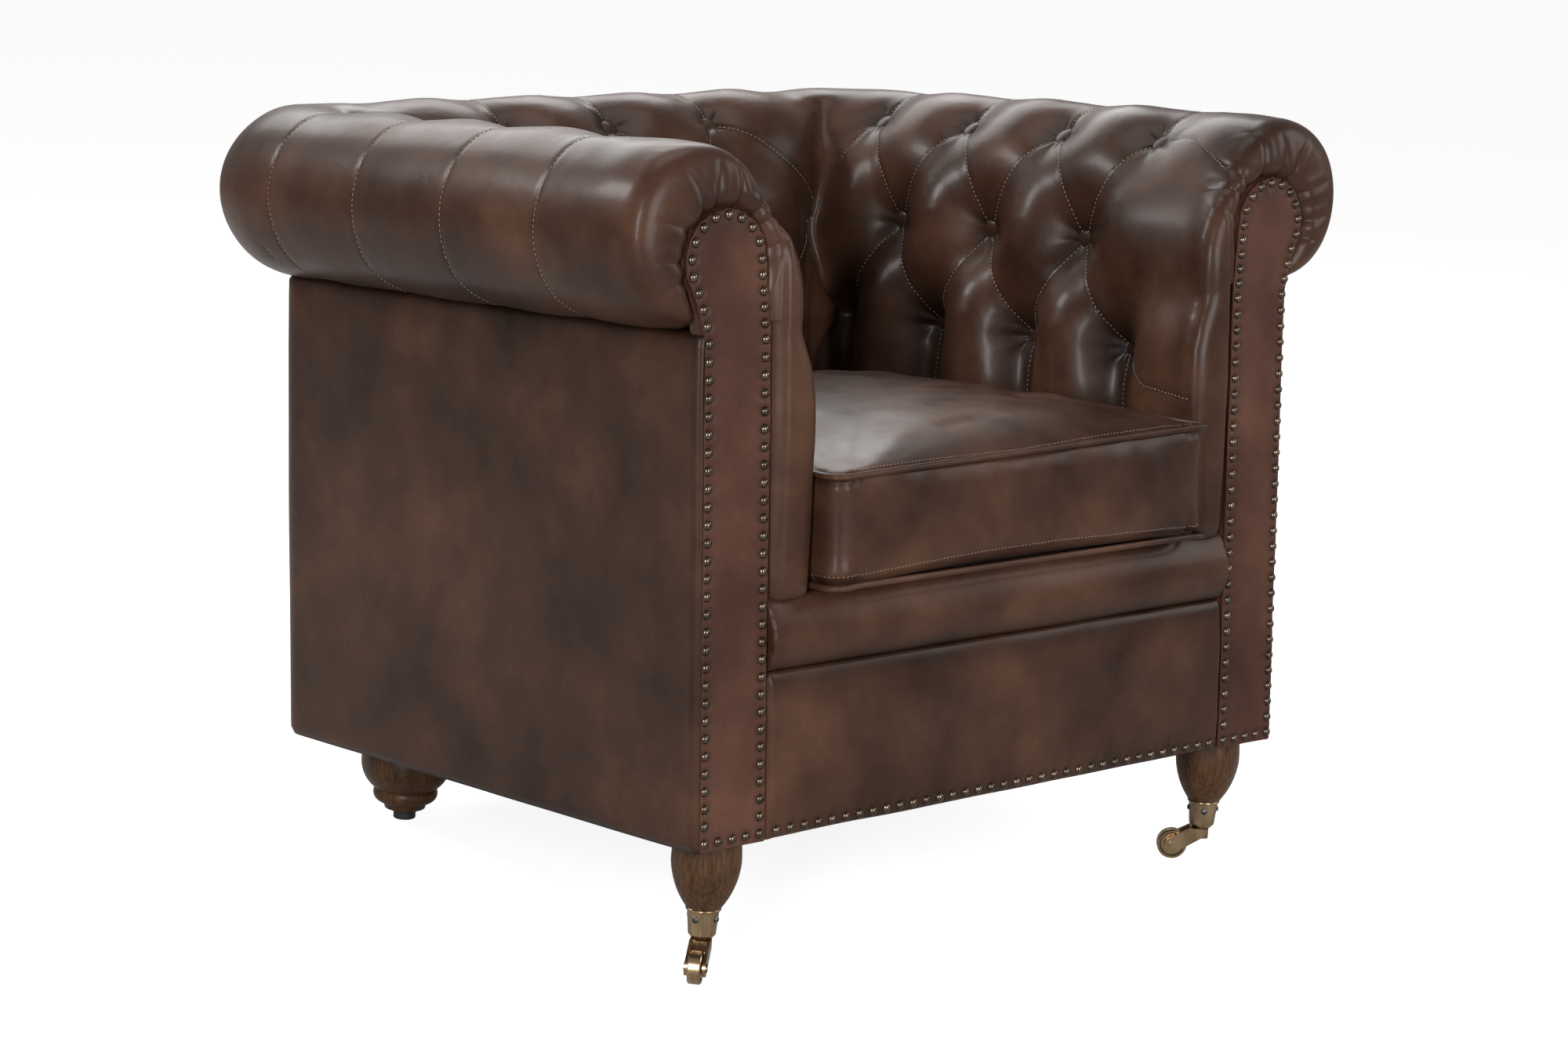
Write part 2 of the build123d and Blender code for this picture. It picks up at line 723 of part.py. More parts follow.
def caster_horn():
    """Stem, block and two ears, trailing along +x."""
    top = cup_bottom - swivel_gap
    inner = wheel_width / 2 + wheel_side_gap
    outer = inner + ear_thickness
    head = Cylinder(outer, horn_height, align=(Align.CENTER, Align.CENTER, Align.MIN))
    nose_room = Box(2 * outer, 2 * outer, 4 * horn_height + 2 * wheel_radius)
    body = Pos(0, 0, top - horn_height) * head & Pos(outer - horn_nose_radius, 0, 0) * nose_room
    body = body + block(0, horn_reach, -outer, outer, top - horn_height, top)
    low_back = (0, top - horn_height)
    cheek = make_hull([*(Pos(caster_trail, wheel_radius) * Circle(ear_radius)).edges(),
                       Line(low_back, (0, top)), Line((0, top), (horn_reach, top))])
    ear = Plane.XZ * cheek
    for y in (-inner, outer):
        body = body + Pos(0, y, 0) * extrude(ear, ear_thickness)
    stem = Pos(0, 0, top) * Cylinder(stem_radius, stem_length, align=(Align.CENTER, Align.CENTER, Align.MIN))
    collar = Pos(0, 0, cup_bottom + cup_floor + stem_collar_gap) * Cylinder(
        stem_collar_radius, stem_collar_height, align=(Align.CENTER, Align.CENTER, Align.MIN))
    hole = Pos(caster_trail, 0, wheel_radius) * Rot(90, 0, 0) * Cylinder(axle_radius, 4 * outer)
    return body + stem + collar - hole


def wheel_axle():
    outer = wheel_width / 2 + wheel_side_gap + ear_thickness
    pin = Cylinder(axle_radius, 2 * outer)
    head = Cylinder(axle_head_radius, axle_head_height, align=(Align.CENTER, Align.CENTER, Align.MIN))
    slot = Pos(0, 0, axle_head_height) * Box(2 * axle_head_radius, axle_slot_width, 2 * axle_slot_depth)
    end = Pos(0, 0, outer) * (head - slot)
    pin = pin + end + Rot(180, 0, 0) * end
    return Pos(caster_trail, 0, wheel_radius) * Rot(90, 0, 0) * pin


def caster_wheel():
    half = wheel_width / 2
    face = wheel_radius - wheel_rim
    web = wheel_dish - half
    web_start = wheel_hub_radius + wheel_dish
    edges = [Line((0, -half), (wheel_hub_radius, -half)),
             Line((wheel_hub_radius, -half), (web_start, web)),
             Line((web_start, web), (face - wheel_dish, web)),
             Line((face - wheel_dish, web), (face, -half)),
             Line((face, -half), (wheel_radius - wheel_round, -half)),
             Line((wheel_radius - wheel_round, -half), (wheel_radius, -half + wheel_round)),
             Line((wheel_radius, -half + wheel_round), (wheel_radius, 0)),
             Line((wheel_radius, 0), (0, 0)), Line((0, 0), (0, -half))]
    disc = turned(edges)
    disc = disc + mirror(disc, Plane.XY)
    disc = disc - Cylinder(axle_radius + axle_clearance, 2 * wheel_width)
    return Pos(caster_trail, 0, wheel_radius) * Rot(90, 0, 0) * disc


def rear_foot():
    top = rear_foot_height + overrun
    waist = glide_height
    edges = [Line((0, waist), (glide_radius, waist)),
             Line((glide_radius, waist), (foot_toe_radius, foot_toe_height)),
             Line((foot_toe_radius, foot_toe_height), (foot_waist_radius, foot_waist_height)),
             Line((foot_waist_radius, foot_waist_height), (foot_waist_radius + foot_step, foot_waist_height)),
             ThreePointArc((foot_waist_radius + foot_step, foot_waist_height),
                           (foot_ring_radius, foot_ring_height), (foot_base_radius, foot_base_height)),
             ThreePointArc((foot_base_radius, foot_base_height), (foot_belly_radius, foot_belly_height),
                           (foot_top_radius, rear_foot_height - cloth)),
             Line((foot_top_radius, rear_foot_height - cloth), (foot_top_radius, top)),
             Line((foot_top_radius, top), (0, top)), Line((0, top), (0, waist))]
    return turned(edges) - bolt_hole(rear_foot_height - bolt_grip, top)


def rear_glide():
    pad = Cylinder(glide_radius, glide_height, align=(Align.CENTER, Align.CENTER, Align.MIN))
    return chamfer(pad.edges().sort_by(Axis.Z)[0], glide_round)


def hanger_bolt(height):
    return Pos(0, 0, height - bolt_grip + bolt_radius) * Cylinder(
        bolt_radius, 2 * (bolt_grip - bolt_radius), align=(Align.CENTER, Align.CENTER, Align.MIN))


def upright_at(body_y):
    """Floor position of a vertical axis that meets the underside at a place on the body."""
    return body_y * math.cos(math.radians(rake))


leg_x = half_width - leg_inset_side
foot_x = half_width - foot_inset
leg_at = Pos(-leg_x, upright_at(leg_inset_front), 0)
leg_at_right = Pos(leg_x, upright_at(leg_inset_front), 0)
foot_at = Pos(-foot_x, upright_at(foot_y), 0)
body_above = underside_cut()
left_bolts = [leg_at * hanger_bolt(front_leg_height), foot_at * hanger_bolt(rear_foot_height)]
left_holes = [leg_at * bolt_hole(0, front_leg_height + 2 * bolt_grip),
              foot_at * bolt_hole(0, rear_foot_height + 2 * bolt_grip)]
all_holes = left_holes + [mirrored(hole) for hole in left_holes]


def raked(shape):
    return body_rake * shape


def pair(name, left):
    parts[name + "_left"] = left
    parts[name + "_right"] = mirrored(left)


parts["front_rail"] = raked(front_rail)
parts["rear_rail"] = raked(rear_rail)
parts["back_rail"] = raked(back_rail)
parts["back_stay"] = raked(back_stay)
parts["border_rail"] = raked(border_rail)
pair("side_rail", raked(side_rail))
pair("front_post", raked(front_post).cut(*left_holes))
pair("rear_post", raked(rear_post))
pair("arm_rail", raked(arm_rail))
pair("side_stay", raked(side_stay))
parts["frame_uprights"] = group([raked(piece) for piece in uprights()])
rear_block = raked(corner_block_rear()).cut(*left_holes)
front_block = raked(corner_block_front())
parts["corner_blocks"] = group([rear_block, mirrored(rear_block), front_block, mirrored(front_block)])
web_file_straps, web_row_straps = webbing()
parts["seat_webbing"] = group([raked(strap) for strap in web_file_straps])
parts["cross_webbing"] = group([raked(strap) for strap in web_row_straps])
deck_pad = block(-deck_half, deck_half, face_back, deck_rear, deck_height - deck_pad_thickness, deck_height)
parts["deck_pad"] = raked(deck_pad)
cloth_sheet = block(leather - half_width, half_width - leather, face_back, rear_y - leather, 0, cloth) & core()
parts["dust_cover"] = raked(cloth_sheet).cut(*all_holes)
panel_room = block(-reach, leather - half_width, -reach, reach, -reach, under_roll_height)
pair("facing_board", raked(facing_prism(leather, face_back, leather) - panel_room))
pair("facing", raked(facing_prism(0, leather)))
side_skin, back_skin = skins()
pair("outer_panel", raked(side_skin))
parts["outer_panel_back"] = raked(back_skin)
parts["front_panel"] = raked(front_panel())
parts["front_border"] = raked(front_border())
pair("arm_pad", raked(arm_pad()))
parts["back_pad"] = raked(back_pad())
left_buttons = [left_wall * piece for piece in wall_buttons(arm_rows)]
parts["arm_buttons_left"] = group([raked(piece) for piece in left_buttons])
parts["arm_buttons_right"] = group([raked(mirrored(piece)) for piece in left_buttons])
parts["back_buttons"] = group([raked(back_wall * piece) for piece in wall_buttons(back_rows)])
left_nails = facing_nails()
parts["facing_nails_left"] = group([raked(piece) for piece in left_nails])
parts["facing_nails_right"] = group([raked(mirrored(piece)) for piece in left_nails])
parts["border_nails"] = group([raked(piece) for piece in border_nails()])
parts["seat_cushion"] = raked(seat_cushion())
parts["cushion_piping"] = group([raked(piping(cushion_low + piping_radius)), raked(piping(cushion_top))])
parts["front_leg_left"] = leg_at * front_leg(left_screw_heading) - body_above
parts["front_leg_right"] = leg_at_right * front_leg(right_screw_heading) - body_above
pair("rear_foot", foot_at * rear_foot() - body_above)
pair("rear_glide", foot_at * rear_glide())
parts["hanger_bolts"] = group(left_bolts + [mirrored(bolt) for bolt in left_bolts])
screws = [leg_at * piece for piece in cup_screws(left_screw_heading)]
screws += [leg_at_right * piece for piece in cup_screws(right_screw_heading)]
parts["cup_screws"] = group(screws)
caster_settings = (("left", leg_at, left_caster_heading, left_screw_heading),
                   ("right", leg_at_right, right_caster_heading, right_screw_heading))
for side, place, heading, screw_heading in caster_settings:
    parts["caster_cup_" + side] = place * caster_cup(screw_heading)
    parts["caster_horn_" + side] = place * Rot(0, 0, heading) * caster_horn()
    parts["wheel_axle_" + side] = place * Rot(0, 0, heading) * wheel_axle()
    parts["caster_wheel_" + side] = place * Rot(0, 0, heading) * caster_wheel()

# the origin is at the middle of the floor under the chair
whole = Compound(children=[solid for shape in parts.values() for solid in shape.solids()])
box = whole.bounding_box()
to_origin = Pos(-(box.min.X + box.max.X) / 2, -(box.min.Y + box.max.Y) / 2, -box.min.Z)
os.makedirs("parts", exist_ok=True)
for name, shape in parts.items():
    export_step(to_origin * Compound(children=list(shape.solids())), "parts/" + name + ".step")

shift_y = -(box.min.Y + box.max.Y) / 2
print("rake", round(rake, 4), "lift", round(lift, 3), "shift y", round(shift_y, 3), "size", box.size)
for side, x, heading in (("left", -leg_x, left_caster_heading), ("right", leg_x, right_caster_heading)):
    y = upright_at(leg_inset_front) + shift_y
    turn = math.radians(heading)
    wheel = (round(x + caster_trail * math.cos(turn), 3), round(y + caster_trail * math.sin(turn), 3))
    print(side, "caster axis", round(x, 3), round(y, 3), "wheel axis", wheel)
    print(side, "axle direction", round(-math.sin(turn), 5), round(math.cos(turn), 5))
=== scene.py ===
import json
import math

import bmesh
import bpy
import numpy as np
from mathutils import Matrix, Vector, noise
from mathutils.bvhtree import BVHTree
from mathutils.kdtree import KDTree


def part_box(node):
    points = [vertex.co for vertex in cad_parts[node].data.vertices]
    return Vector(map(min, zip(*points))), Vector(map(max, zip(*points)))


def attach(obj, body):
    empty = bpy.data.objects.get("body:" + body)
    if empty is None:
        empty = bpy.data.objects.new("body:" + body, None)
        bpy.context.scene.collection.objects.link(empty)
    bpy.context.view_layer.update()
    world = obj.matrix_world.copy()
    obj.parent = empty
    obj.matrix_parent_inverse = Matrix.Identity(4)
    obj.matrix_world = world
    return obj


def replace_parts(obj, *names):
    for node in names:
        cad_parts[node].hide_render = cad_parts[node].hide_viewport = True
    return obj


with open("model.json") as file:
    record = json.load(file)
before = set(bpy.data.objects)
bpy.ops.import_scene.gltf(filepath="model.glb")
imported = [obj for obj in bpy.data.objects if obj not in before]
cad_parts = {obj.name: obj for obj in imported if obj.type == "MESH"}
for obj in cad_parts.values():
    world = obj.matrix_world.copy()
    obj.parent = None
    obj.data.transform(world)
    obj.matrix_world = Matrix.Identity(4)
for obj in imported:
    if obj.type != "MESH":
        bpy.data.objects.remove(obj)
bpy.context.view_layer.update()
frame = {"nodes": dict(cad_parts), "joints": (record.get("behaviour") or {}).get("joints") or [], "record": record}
nodes = frame["nodes"]

# sizes in metres, the upholstered body drawn level: x to the right, y to the rear, z up from its underside
mm = 0.001
flip = Vector((-1, 1, 1))
leather_thickness = 3 * mm
base_half = 378 * mm
base_depth = 643 * mm
corner_radius = 22 * mm
back_depth = 60 * mm
bend_radius = 60 * mm
under_seam_z = 459 * mm
pad_low_z = 215 * mm
border_low_z = 152 * mm

# the roll, the buttons and the round head of a facing
roll_z = 545 * mm
roll_radius = 85 * mm
roll_core = 55 * mm
guide_radius = 100 * mm
top_button_angle = math.radians(50)
button_radius = 11 * mm
facing_inner = 300 * mm
head_x = -353.5 * mm
head_z = 523 * mm
head_radius = 46.5 * mm

# the seat cushion
cushion_low_z, cushion_high_z = 222.3 * mm, 330.3 * mm
cushion_half = 244.5 * mm
cushion_front_reach, cushion_rear, cushion_corner = 26 * mm, 509.5 * mm, 26 * mm

# the body leans back with the direction that the cushion lifts in
rake_up = Vector(next(j for j in frame["joints"] if j["name"] == "cushion_lift")["axis"]).normalized()
facing_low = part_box("facing_left")[0]
lean = Matrix(((1, 0, 0), (0, rake_up.z, rake_up.y), (0, -rake_up.y, rake_up.z)))
body_place = lean.to_4x4()
body_place.translation = Vector((0, facing_low.y, facing_low.z + leather_thickness * rake_up.y))


# helpers for meshes
def new_piece(name, mesh):
    piece = bpy.data.objects.new(name, mesh)
    bpy.context.scene.collection.objects.link(piece)
    return piece


def from_bmesh(name, bm):
    mesh = bpy.data.meshes.new(name)
    bm.to_mesh(mesh)
    bm.free()
    return new_piece(name, mesh)


def merged(*names):
    """The CAD nodes' meshes, their loose triangles merged, as a bmesh in the level frame of the body."""
    bm = bmesh.new()
    for name in names:
        bm.from_mesh(nodes[name].data)
    bmesh.ops.remove_doubles(bm, verts=bm.verts, dist=0.01 * mm)
    bmesh.ops.transform(bm, matrix=body_place.inverted(), verts=bm.verts)
    return bm


def bake(piece):
    """The piece's modifiers become its mesh."""
    mesh = bpy.data.meshes.new_from_object(piece.evaluated_get(bpy.context.evaluated_depsgraph_get()))
    piece.modifiers.clear()
    piece.vertex_groups.clear()
    piece.data = mesh


def coordinates(mesh):
    co = np.empty(len(mesh.vertices) * 3)
    mesh.vertices.foreach_get("co", co)
    return co.reshape(-1, 3)


def normals(mesh):
    out = np.empty(len(mesh.vertices) * 3)
    mesh.vertices.foreach_get("normal", out)
    return out.reshape(-1, 3)


def set_coordinates(mesh, co):
    mesh.vertices.foreach_set("co", co.ravel())
    mesh.update()


def relax(piece, rounds):
    bm = bmesh.new()
    bm.from_mesh(piece.data)
    for _ in range(rounds):
        bmesh.ops.smooth_vert(bm, verts=bm.verts, factor=0.5, use_axis_x=True, use_axis_y=True,
                              use_axis_z=True)
    bm.to_mesh(piece.data)
    bm.free()


def soften(piece, rounds, still):
    """Smoothed, each point staying by the share that still gives it."""
    start = coordinates(piece.data)
    relax(piece, rounds)
    stay = still(start)[:, None]
    set_coordinates(piece.data, coordinates(piece.data) * (1 - stay) + start * stay)


def remeshed(name, names, voxel, rounds, fills=()):
    """An even mesh of the CAD nodes' joint shape with any fills, its edges rounded by some smoothing."""
    bm = merged(*names)
    for place, size in fills:
        bmesh.ops.create_icosphere(bm, subdivisions=4, radius=1,
                                   matrix=Matrix.Translation(place) @ Matrix.Diagonal((*size, 1)))
    piece = from_bmesh(name, bm)
    modifier = piece.modifiers.new("voxels", "REMESH")
    modifier.mode = "VOXEL"
    modifier.voxel_size = voxel
    bake(piece)
    relax(piece, rounds)
    return piece


cover_cloth = {"quality": 4, "mass": 0.3, "tension_stiffness": 18, "compression_stiffness": 12,
               "shear_stiffness": 6, "bending_stiffness": 1.5, "use_pressure": True}
cover_frames = 20


def inflate(piece, held, pressure, limit):
    """The cover under pressure from inside, its held points staying and no point moving past the limit."""
    start = coordinates(piece.data)
    group = piece.vertex_groups.new(name="held")
    for share in np.unique(held[held > 0]):
        group.add([int(i) for i in np.nonzero(held == share)[0]], float(share), "REPLACE")
    cloth = piece.modifiers.new("cover", "CLOTH")
    settings = cloth.settings
    for name, value in cover_cloth.items():
        setattr(settings, name, value)
    settings.uniform_pressure_force = pressure
    settings.vertex_group_mass = group.name
    settings.effector_weights.gravity = 0
    cloth.collision_settings.use_collision = False
    scene = bpy.context.scene
    for number in range(1, cover_frames + 1):
        scene.frame_set(number)
    bake(piece)
    scene.frame_set(1)
    moved = coordinates(piece.data) - start
    length = np.linalg.norm(moved, axis=1)
    share = np.minimum(1, limit / np.maximum(length, 1e-9))
    set_coordinates(piece.data, start + moved * share[:, None])


def refined(piece):
    modifier = piece.modifiers.new("finer", "SUBSURF")
    modifier.levels = 1
    modifier.render_levels = 1
    bake(piece)


def smooth(piece):
    piece.data.polygons.foreach_set("use_smooth", [True] * len(piece.data.polygons))


def placed(piece):
    """From the level frame of the body to its place on the legs."""
    piece.data.transform(body_place)
    piece.data.update()
    smooth(piece)


def near(co, points, reach):
    """For each coordinate the distance to the nearest of the points, no more than reach."""
    tree = KDTree(len(points))
    for i, p in enumerate(points):
        tree.insert(p, i)
    tree.balance()
    return np.array([min(reach, tree.find(Vector(c))[2]) for c in co])


def islands(name):
    """Middle of each separate solid in a node."""
    bm = merged(name)
    found = []
    left = set(bm.verts)
    while left:
        todo, piece = [left.pop()], []
        while todo:
            vert = todo.pop()
            piece.append(vert.co.copy())
            joined = {edge.other_vert(vert) for edge in vert.link_edges} & left
            left -= joined
            todo += joined
        co = np.array(piece)
        found.append(Vector((co.min(0) + co.max(0)) / 2))
    bm.free()
    return sorted(found, key=lambda p: (round(p.z, 4), round(p.y, 4), round(p.x, 4)))


def store(piece, name, values):
    layer = piece.data.attributes.new(name, "FLOAT", "POINT")
    layer.data.foreach_set("value", np.asarray(values, np.float32))


# lines of sight onto the padding: along runs beside the roll, drop is measured down from its middle
sight_distance = 0.3
seat_middle_y = 0.3


def over_roll(middle, inward, drop):
    """Onto the roll from outside, where a drop below zero is an arc round its middle line."""
    angle = -drop / guide_radius
    out = inward * math.cos(angle) + Vector((0, 0, math.sin(angle)))
    return middle + sight_distance * out, -out


def arm_ray(along, drop):
    """Start and direction of a line of sight onto the left arm, from over the seat or from above the roll."""
    if drop >= 0:
        return Vector((0, along, roll_z - drop)), Vector((-1, 0, 0))
    return over_roll(Vector((-base_half, along, roll_z)), Vector((1, 0, 0)), drop)


def back_ray(along, drop):
    """The same onto the back."""
    if drop >= 0:
        return Vector((along, seat_middle_y, roll_z - drop)), Vector((0, 1, 0))
    return over_roll(Vector((along, base_depth, roll_z)), Vector((0, -1, 0)), drop)


# where the buttons and seams are: on the left arm along y, on the back along x
top_drop = -top_button_angle * guide_radius
middle_drop = 51 * mm
bottom_drop = 155 * mm
low_drop = 215 * mm
over_drop = -math.radians(262) * guide_radius
pitch = 136 * mm
first_button_y = 135 * mm
arm_top = [first_button_y + i * pitch for i in range(4)]
arm_middle = [y + pitch / 2 for y in arm_top[:-1]]
back_top = [-pitch, 0, pitch]
back_middle = [-pitch / 2, pitch / 2]
corner_along = 574 * mm
back_corner_along = 258 * mm
corner_seam_rise = 20 * mm
roll_corner_x, roll_corner_y = 327.7 * mm, 642.2 * mm


def corner_ray(along, drop):
    """The same onto the crease where the left arm meets the back."""
    inward = Vector((1, -1, 0)).normalized()
    roll_middle = Vector((-roll_corner_x, roll_corner_y, roll_z))
    if drop >= 0:
        return roll_middle + (sight_distance + along) * inward - Vector((0, 0, drop)), -inward
    return over_roll(roll_middle, inward, drop)


def lattice(top, middle, corners):
    """Seams between the buttons as lists of (along, drop), with their ends below and over the roll."""
    seams = []
    for i, y in enumerate(middle):
        for end in (top[i], top[i + 1]):
            seams.append([(end, top_drop), (y, middle_drop)])
            seams.append([(y, middle_drop), (end, bottom_drop)])
    for y in top:
        seams.append([(y, bottom_drop), (y, low_drop)])
        seams.append([(y, top_drop), (y, top_drop - guide_radius), (y, over_drop)])
    for y, end in corners:
        seams.append([(y, top_drop), (end, middle_drop - corner_seam_rise)])
        seams.append([(end, middle_drop), (y, bottom_drop)])
    return seams


least_gap_share, most_gap_share = 0.4, 6


def on_surface(tree, ray, seam, step=2 * mm):
    """The seam as points on the padding, with the normal at each."""
    found = []
    for (a0, d0), (a1, d1) in zip(seam, seam[1:]):
        count = max(2, int(math.hypot(a1 - a0, d1 - d0) / step))
        for i in range(count + 1):
            share = i / count
            start, direction = ray(a0 + (a1 - a0) * share, d0 + (d1 - d0) * share)
            hit, normal, _, _ = tree.ray_cast(start, direction)
            if hit and (not found
                        or least_gap_share * step < (hit - found[-1][0]).length < most_gap_share * step):
                found.append((hit, normal))
    return found


def tree_of(piece):
    mesh = piece.data
    return BVHTree.FromPolygons([v.co for v in mesh.vertices], [p.vertices for p in mesh.polygons])


# padding
dimple_reach = 24 * mm
dimple_span = 78 * mm
dimple_power = 1.25
dimple_floor = 2 * mm
dimple_slope = 0.1
dimple_behind, dimple_ahead = -30 * mm, 75 * mm
button_back = 3.5 * mm
top_button_seat = 62 * mm
corner_fill_x, corner_fill_y, corner_fill_z = 293 * mm, 603 * mm, 425 * mm
corner_fill_size = (46 * mm, 46 * mm, 150 * mm)


def dimples(piece, places):
    """The cover drawn in towards each button: (place of the button's back, direction it faces)."""
    co = coordinates(piece.data)
    for place, out in places:
        offset = co - np.array(place)
        height = offset @ np.array(out)
        flat = np.linalg.norm(offset - height[:, None] * np.array(out), axis=1)
        share = np.exp(-(flat / dimple_reach) ** dimple_power)
        share[(flat > dimple_span) | (height < dimple_behind) | (height > dimple_ahead)] = 0
        target = dimple_floor + (height - dimple_floor) * dimple_slope
        co += ((target - height) * share)[:, None] * np.array(out)
    set_coordinates(piece.data, co)


held_rim = 2 * mm


def pad_held(piece, places, fixed):
    """Share by which each point of a pad is held: fully at the buttons and where it meets other parts."""
    co = coordinates(piece.data)
    held = np.zeros(len(co))
    held[fixed(co)] = 1
    for place, _ in places:
        held[np.linalg.norm(co - np.array(place), axis=1) < button_radius + held_rim] = 1
    return held


def seamed(piece, paths, depth, width):
    """Cuts the seams into the cover and returns them as points on the surface."""
    points = [p for path in paths for p, _ in path]
    co, out = coordinates(piece.data), normals(piece.data)
    faint, wide, reach = 0.4 * depth, 3.2 * width, 6 * width
    gap = near(co, points, reach)
    cut = depth * np.exp(-(gap / width) ** 2) + faint * np.exp(-(gap / wide) ** 2)
    set_coordinates(piece.data, co - out * cut[:, None])
    tree = tree_of(piece)
    return [[tree.find_nearest(p)[:2] for p, _ in path] for path in paths]


def gathers(piece, places, count, reach, height):
    """Small folds that run out from each button."""
    co, out = coordinates(piece.data), normals(piece.data)
    for number, (place, face) in enumerate(places):
        side = Vector(face).orthogonal().normalized()
        up = Vector(face).cross(side)
        offset = co - np.array(place)
        a, b = offset @ np.array(side), offset @ np.array(up)
        distance = np.hypot(a, b)
        angle = np.arctan2(b, a) + 0.7 * number
        wave = np.sin(count * angle + 1.5 * np.sin(2 * angle + number)) + 0.5 * np.sin((count + 4) * angle)
        share = np.exp(-(distance / reach) ** 2) * np.clip(distance / (1.3 * button_radius), 0, 1)
        share[np.abs(offset @ np.array(face)) > 50 * mm] = 0
        co += out * (height * wave * share)[:, None]
    set_coordinates(piece.data, co)


def rumpled(piece, size, height, seed=0):
    """Slow unevenness of hand-stretched leather."""
    co, out = coordinates(piece.data), normals(piece.data)
    lift = np.array([noise.noise(Vector(c) / size + Vector((seed, 0, 0))) for c in co])
    set_coordinates(piece.data, co + out * (height * lift)[:, None])


def wall_offset(co):
    """Plan distance of each point outside the middle line of the roll, and the way outward."""
    side = np.abs(co[:, 0]) - (base_half - bend_radius)
    rear = co[:, 1] - (base_depth - bend_radius)
    outside = np.hypot(np.maximum(side, 0), np.maximum(rear, 0))
    offset = outside + np.minimum(np.maximum(side, rear), 0) - bend_radius
    way = np.zeros((len(co), 2))
    corner = (side > 0) & (rear > 0)
    way[corner, 0] = side[corner] / outside[corner]
    way[corner, 1] = rear[corner] / outside[corner]
    way[~corner & (side >= rear), 0] = 1
    way[~corner & (side < rear), 1] = 1
    way[:, 0] *= np.sign(co[:, 0])
    return offset, way


def pads_fixed(co):
    """Points of the padding that the frame, the facings and the seams hold."""
    front_rim, foot_rim, back_rim, head_rim = 4 * mm, 6 * mm, 4 * mm, 4 * mm
    seam_half, seam_rim, over_seam, head_depth = 12 * mm, 12 * mm, 6 * mm, 24 * mm
    offset, _ = wall_offset(co)
    ring = np.hypot(np.abs(co[:, 0]) + head_x, co[:, 2] - head_z)
    behind = (offset > -back_depth - back_rim) & (co[:, 2] < under_seam_z + over_seam)
    seam = (np.abs(offset) < seam_half) & (co[:, 2] < under_seam_z + seam_rim)
    front = (co[:, 1] < head_depth) & (ring < head_radius + head_rim)
    return behind | seam | front | (co[:, 1] < front_rim) | (co[:, 2] < pad_low_z + foot_rim)


def pads_still(co):
    """Share by which the padding's rims keep their place while its puffs are evened out."""
    back_rim, back_fade, seam_reach, seam_half, front_reach = 10 * mm, 6 * mm, 12 * mm, 25 * mm, 14 * mm
    offset, _ = wall_offset(co)
    behind = np.clip((offset + back_depth + back_rim) / back_fade, 0, 1) * (co[:, 2] < under_seam_z)
    seam = np.exp(-((co[:, 2] - under_seam_z) / seam_reach) ** 2) * (np.abs(offset) < seam_half)
    front = np.exp(-(co[:, 1] / front_reach) ** 2)
    foot = np.exp(-((co[:, 2] - pad_low_z) / seam_reach) ** 2)
    return np.maximum.reduce([behind, seam, front, foot])


def about_roll(co):
    """Each point's plan offset from the roll's middle line, the way outward, its height and distance."""
    offset, way = wall_offset(co)
    height = co[:, 2] - roll_z
    return offset, way, height, np.hypot(offset, height)


def scaled_about_roll(piece, co, offset, way, height, factor):
    """Moves each point to factor times its distance from the roll's middle line."""
    co[:, 0] += way[:, 0] * offset * (factor - 1)
    co[:, 1] += way[:, 1] * offset * (factor - 1)
    co[:, 2] += height * (factor - 1)
    set_coordinates(piece.data, co)


def even_roll(piece):
    """Outside of the roll: the cover runs smooth from pleat to pleat, drawn in by buttons at the top only."""
    first_angle, blend_angle, last_angle = 78, 36, 285
    front_gap, front_blend, left_over = 30 * mm, 70 * mm, 0.12
    co = coordinates(piece.data)
    offset, way, height, radius = about_roll(co)
    angle = np.degrees(np.arctan2(height, -offset)) % 360
    share = np.clip((angle - first_angle) / blend_angle, 0, 1) * (angle < last_angle) * (radius > roll_core)
    share = share * share * (3 - 2 * share) * np.clip((co[:, 1] - front_gap) / front_blend, 0, 1)
    aim = roll_radius + (radius - roll_radius) * left_over
    scaled_about_roll(piece, co, offset, way, height, 1 + share * (aim / radius - 1))


def pleats(piece):
    """The cover's folds that run from the top buttons outwards over the roll."""
    deepest, narrow, widening = 8 * mm, 9 * mm, 0.22
    fade_arc, first_arc, last_arc = 46 * mm, -12 * mm, 150 * mm
    co = coordinates(piece.data)
    offset, way, height, radius = about_roll(co)
    arc = (np.arctan2(height, -offset) - top_button_angle) * roll_radius
    ahead = np.clip(arc, 0, None)
    side = np.abs(way[:, 0]) > 0.7
    along = np.where(side, co[:, 1], co[:, 0])
    gap = np.full(len(co), 1.0)
    for places, here in ((arm_top, side), (back_top, ~side)):
        for place in places:
            gap = np.where(here, np.minimum(gap, np.abs(along - place)), gap)
    width = narrow + widening * ahead
    depth = deepest * np.exp(-(gap / width) ** 1.3) * np.exp(-(ahead / fade_arc) ** 2)
    depth *= (arc > first_arc) & (radius > roll_core) & (np.abs(arc) < last_arc)
    scaled_about_roll(piece, co, offset, way, height, 1 - depth / np.maximum(radius, 1 * mm))


def button_places(node, toward, top_axis):
    """Back of each button and the direction that it faces, from the CAD buttons."""
    found = []
    for middle in islands(node):
        if middle.z > roll_z:
            angle = top_button_angle
            out = Vector(toward) * math.cos(angle) + Vector((0, 0, math.sin(angle)))
            axis = Vector((top_axis.x or middle.x, top_axis.y or middle.y, roll_z))
            found.append((axis + out * top_button_seat, out))
        else:
            out = Vector(toward)
            found.append((middle - out * button_back, out))
    return found


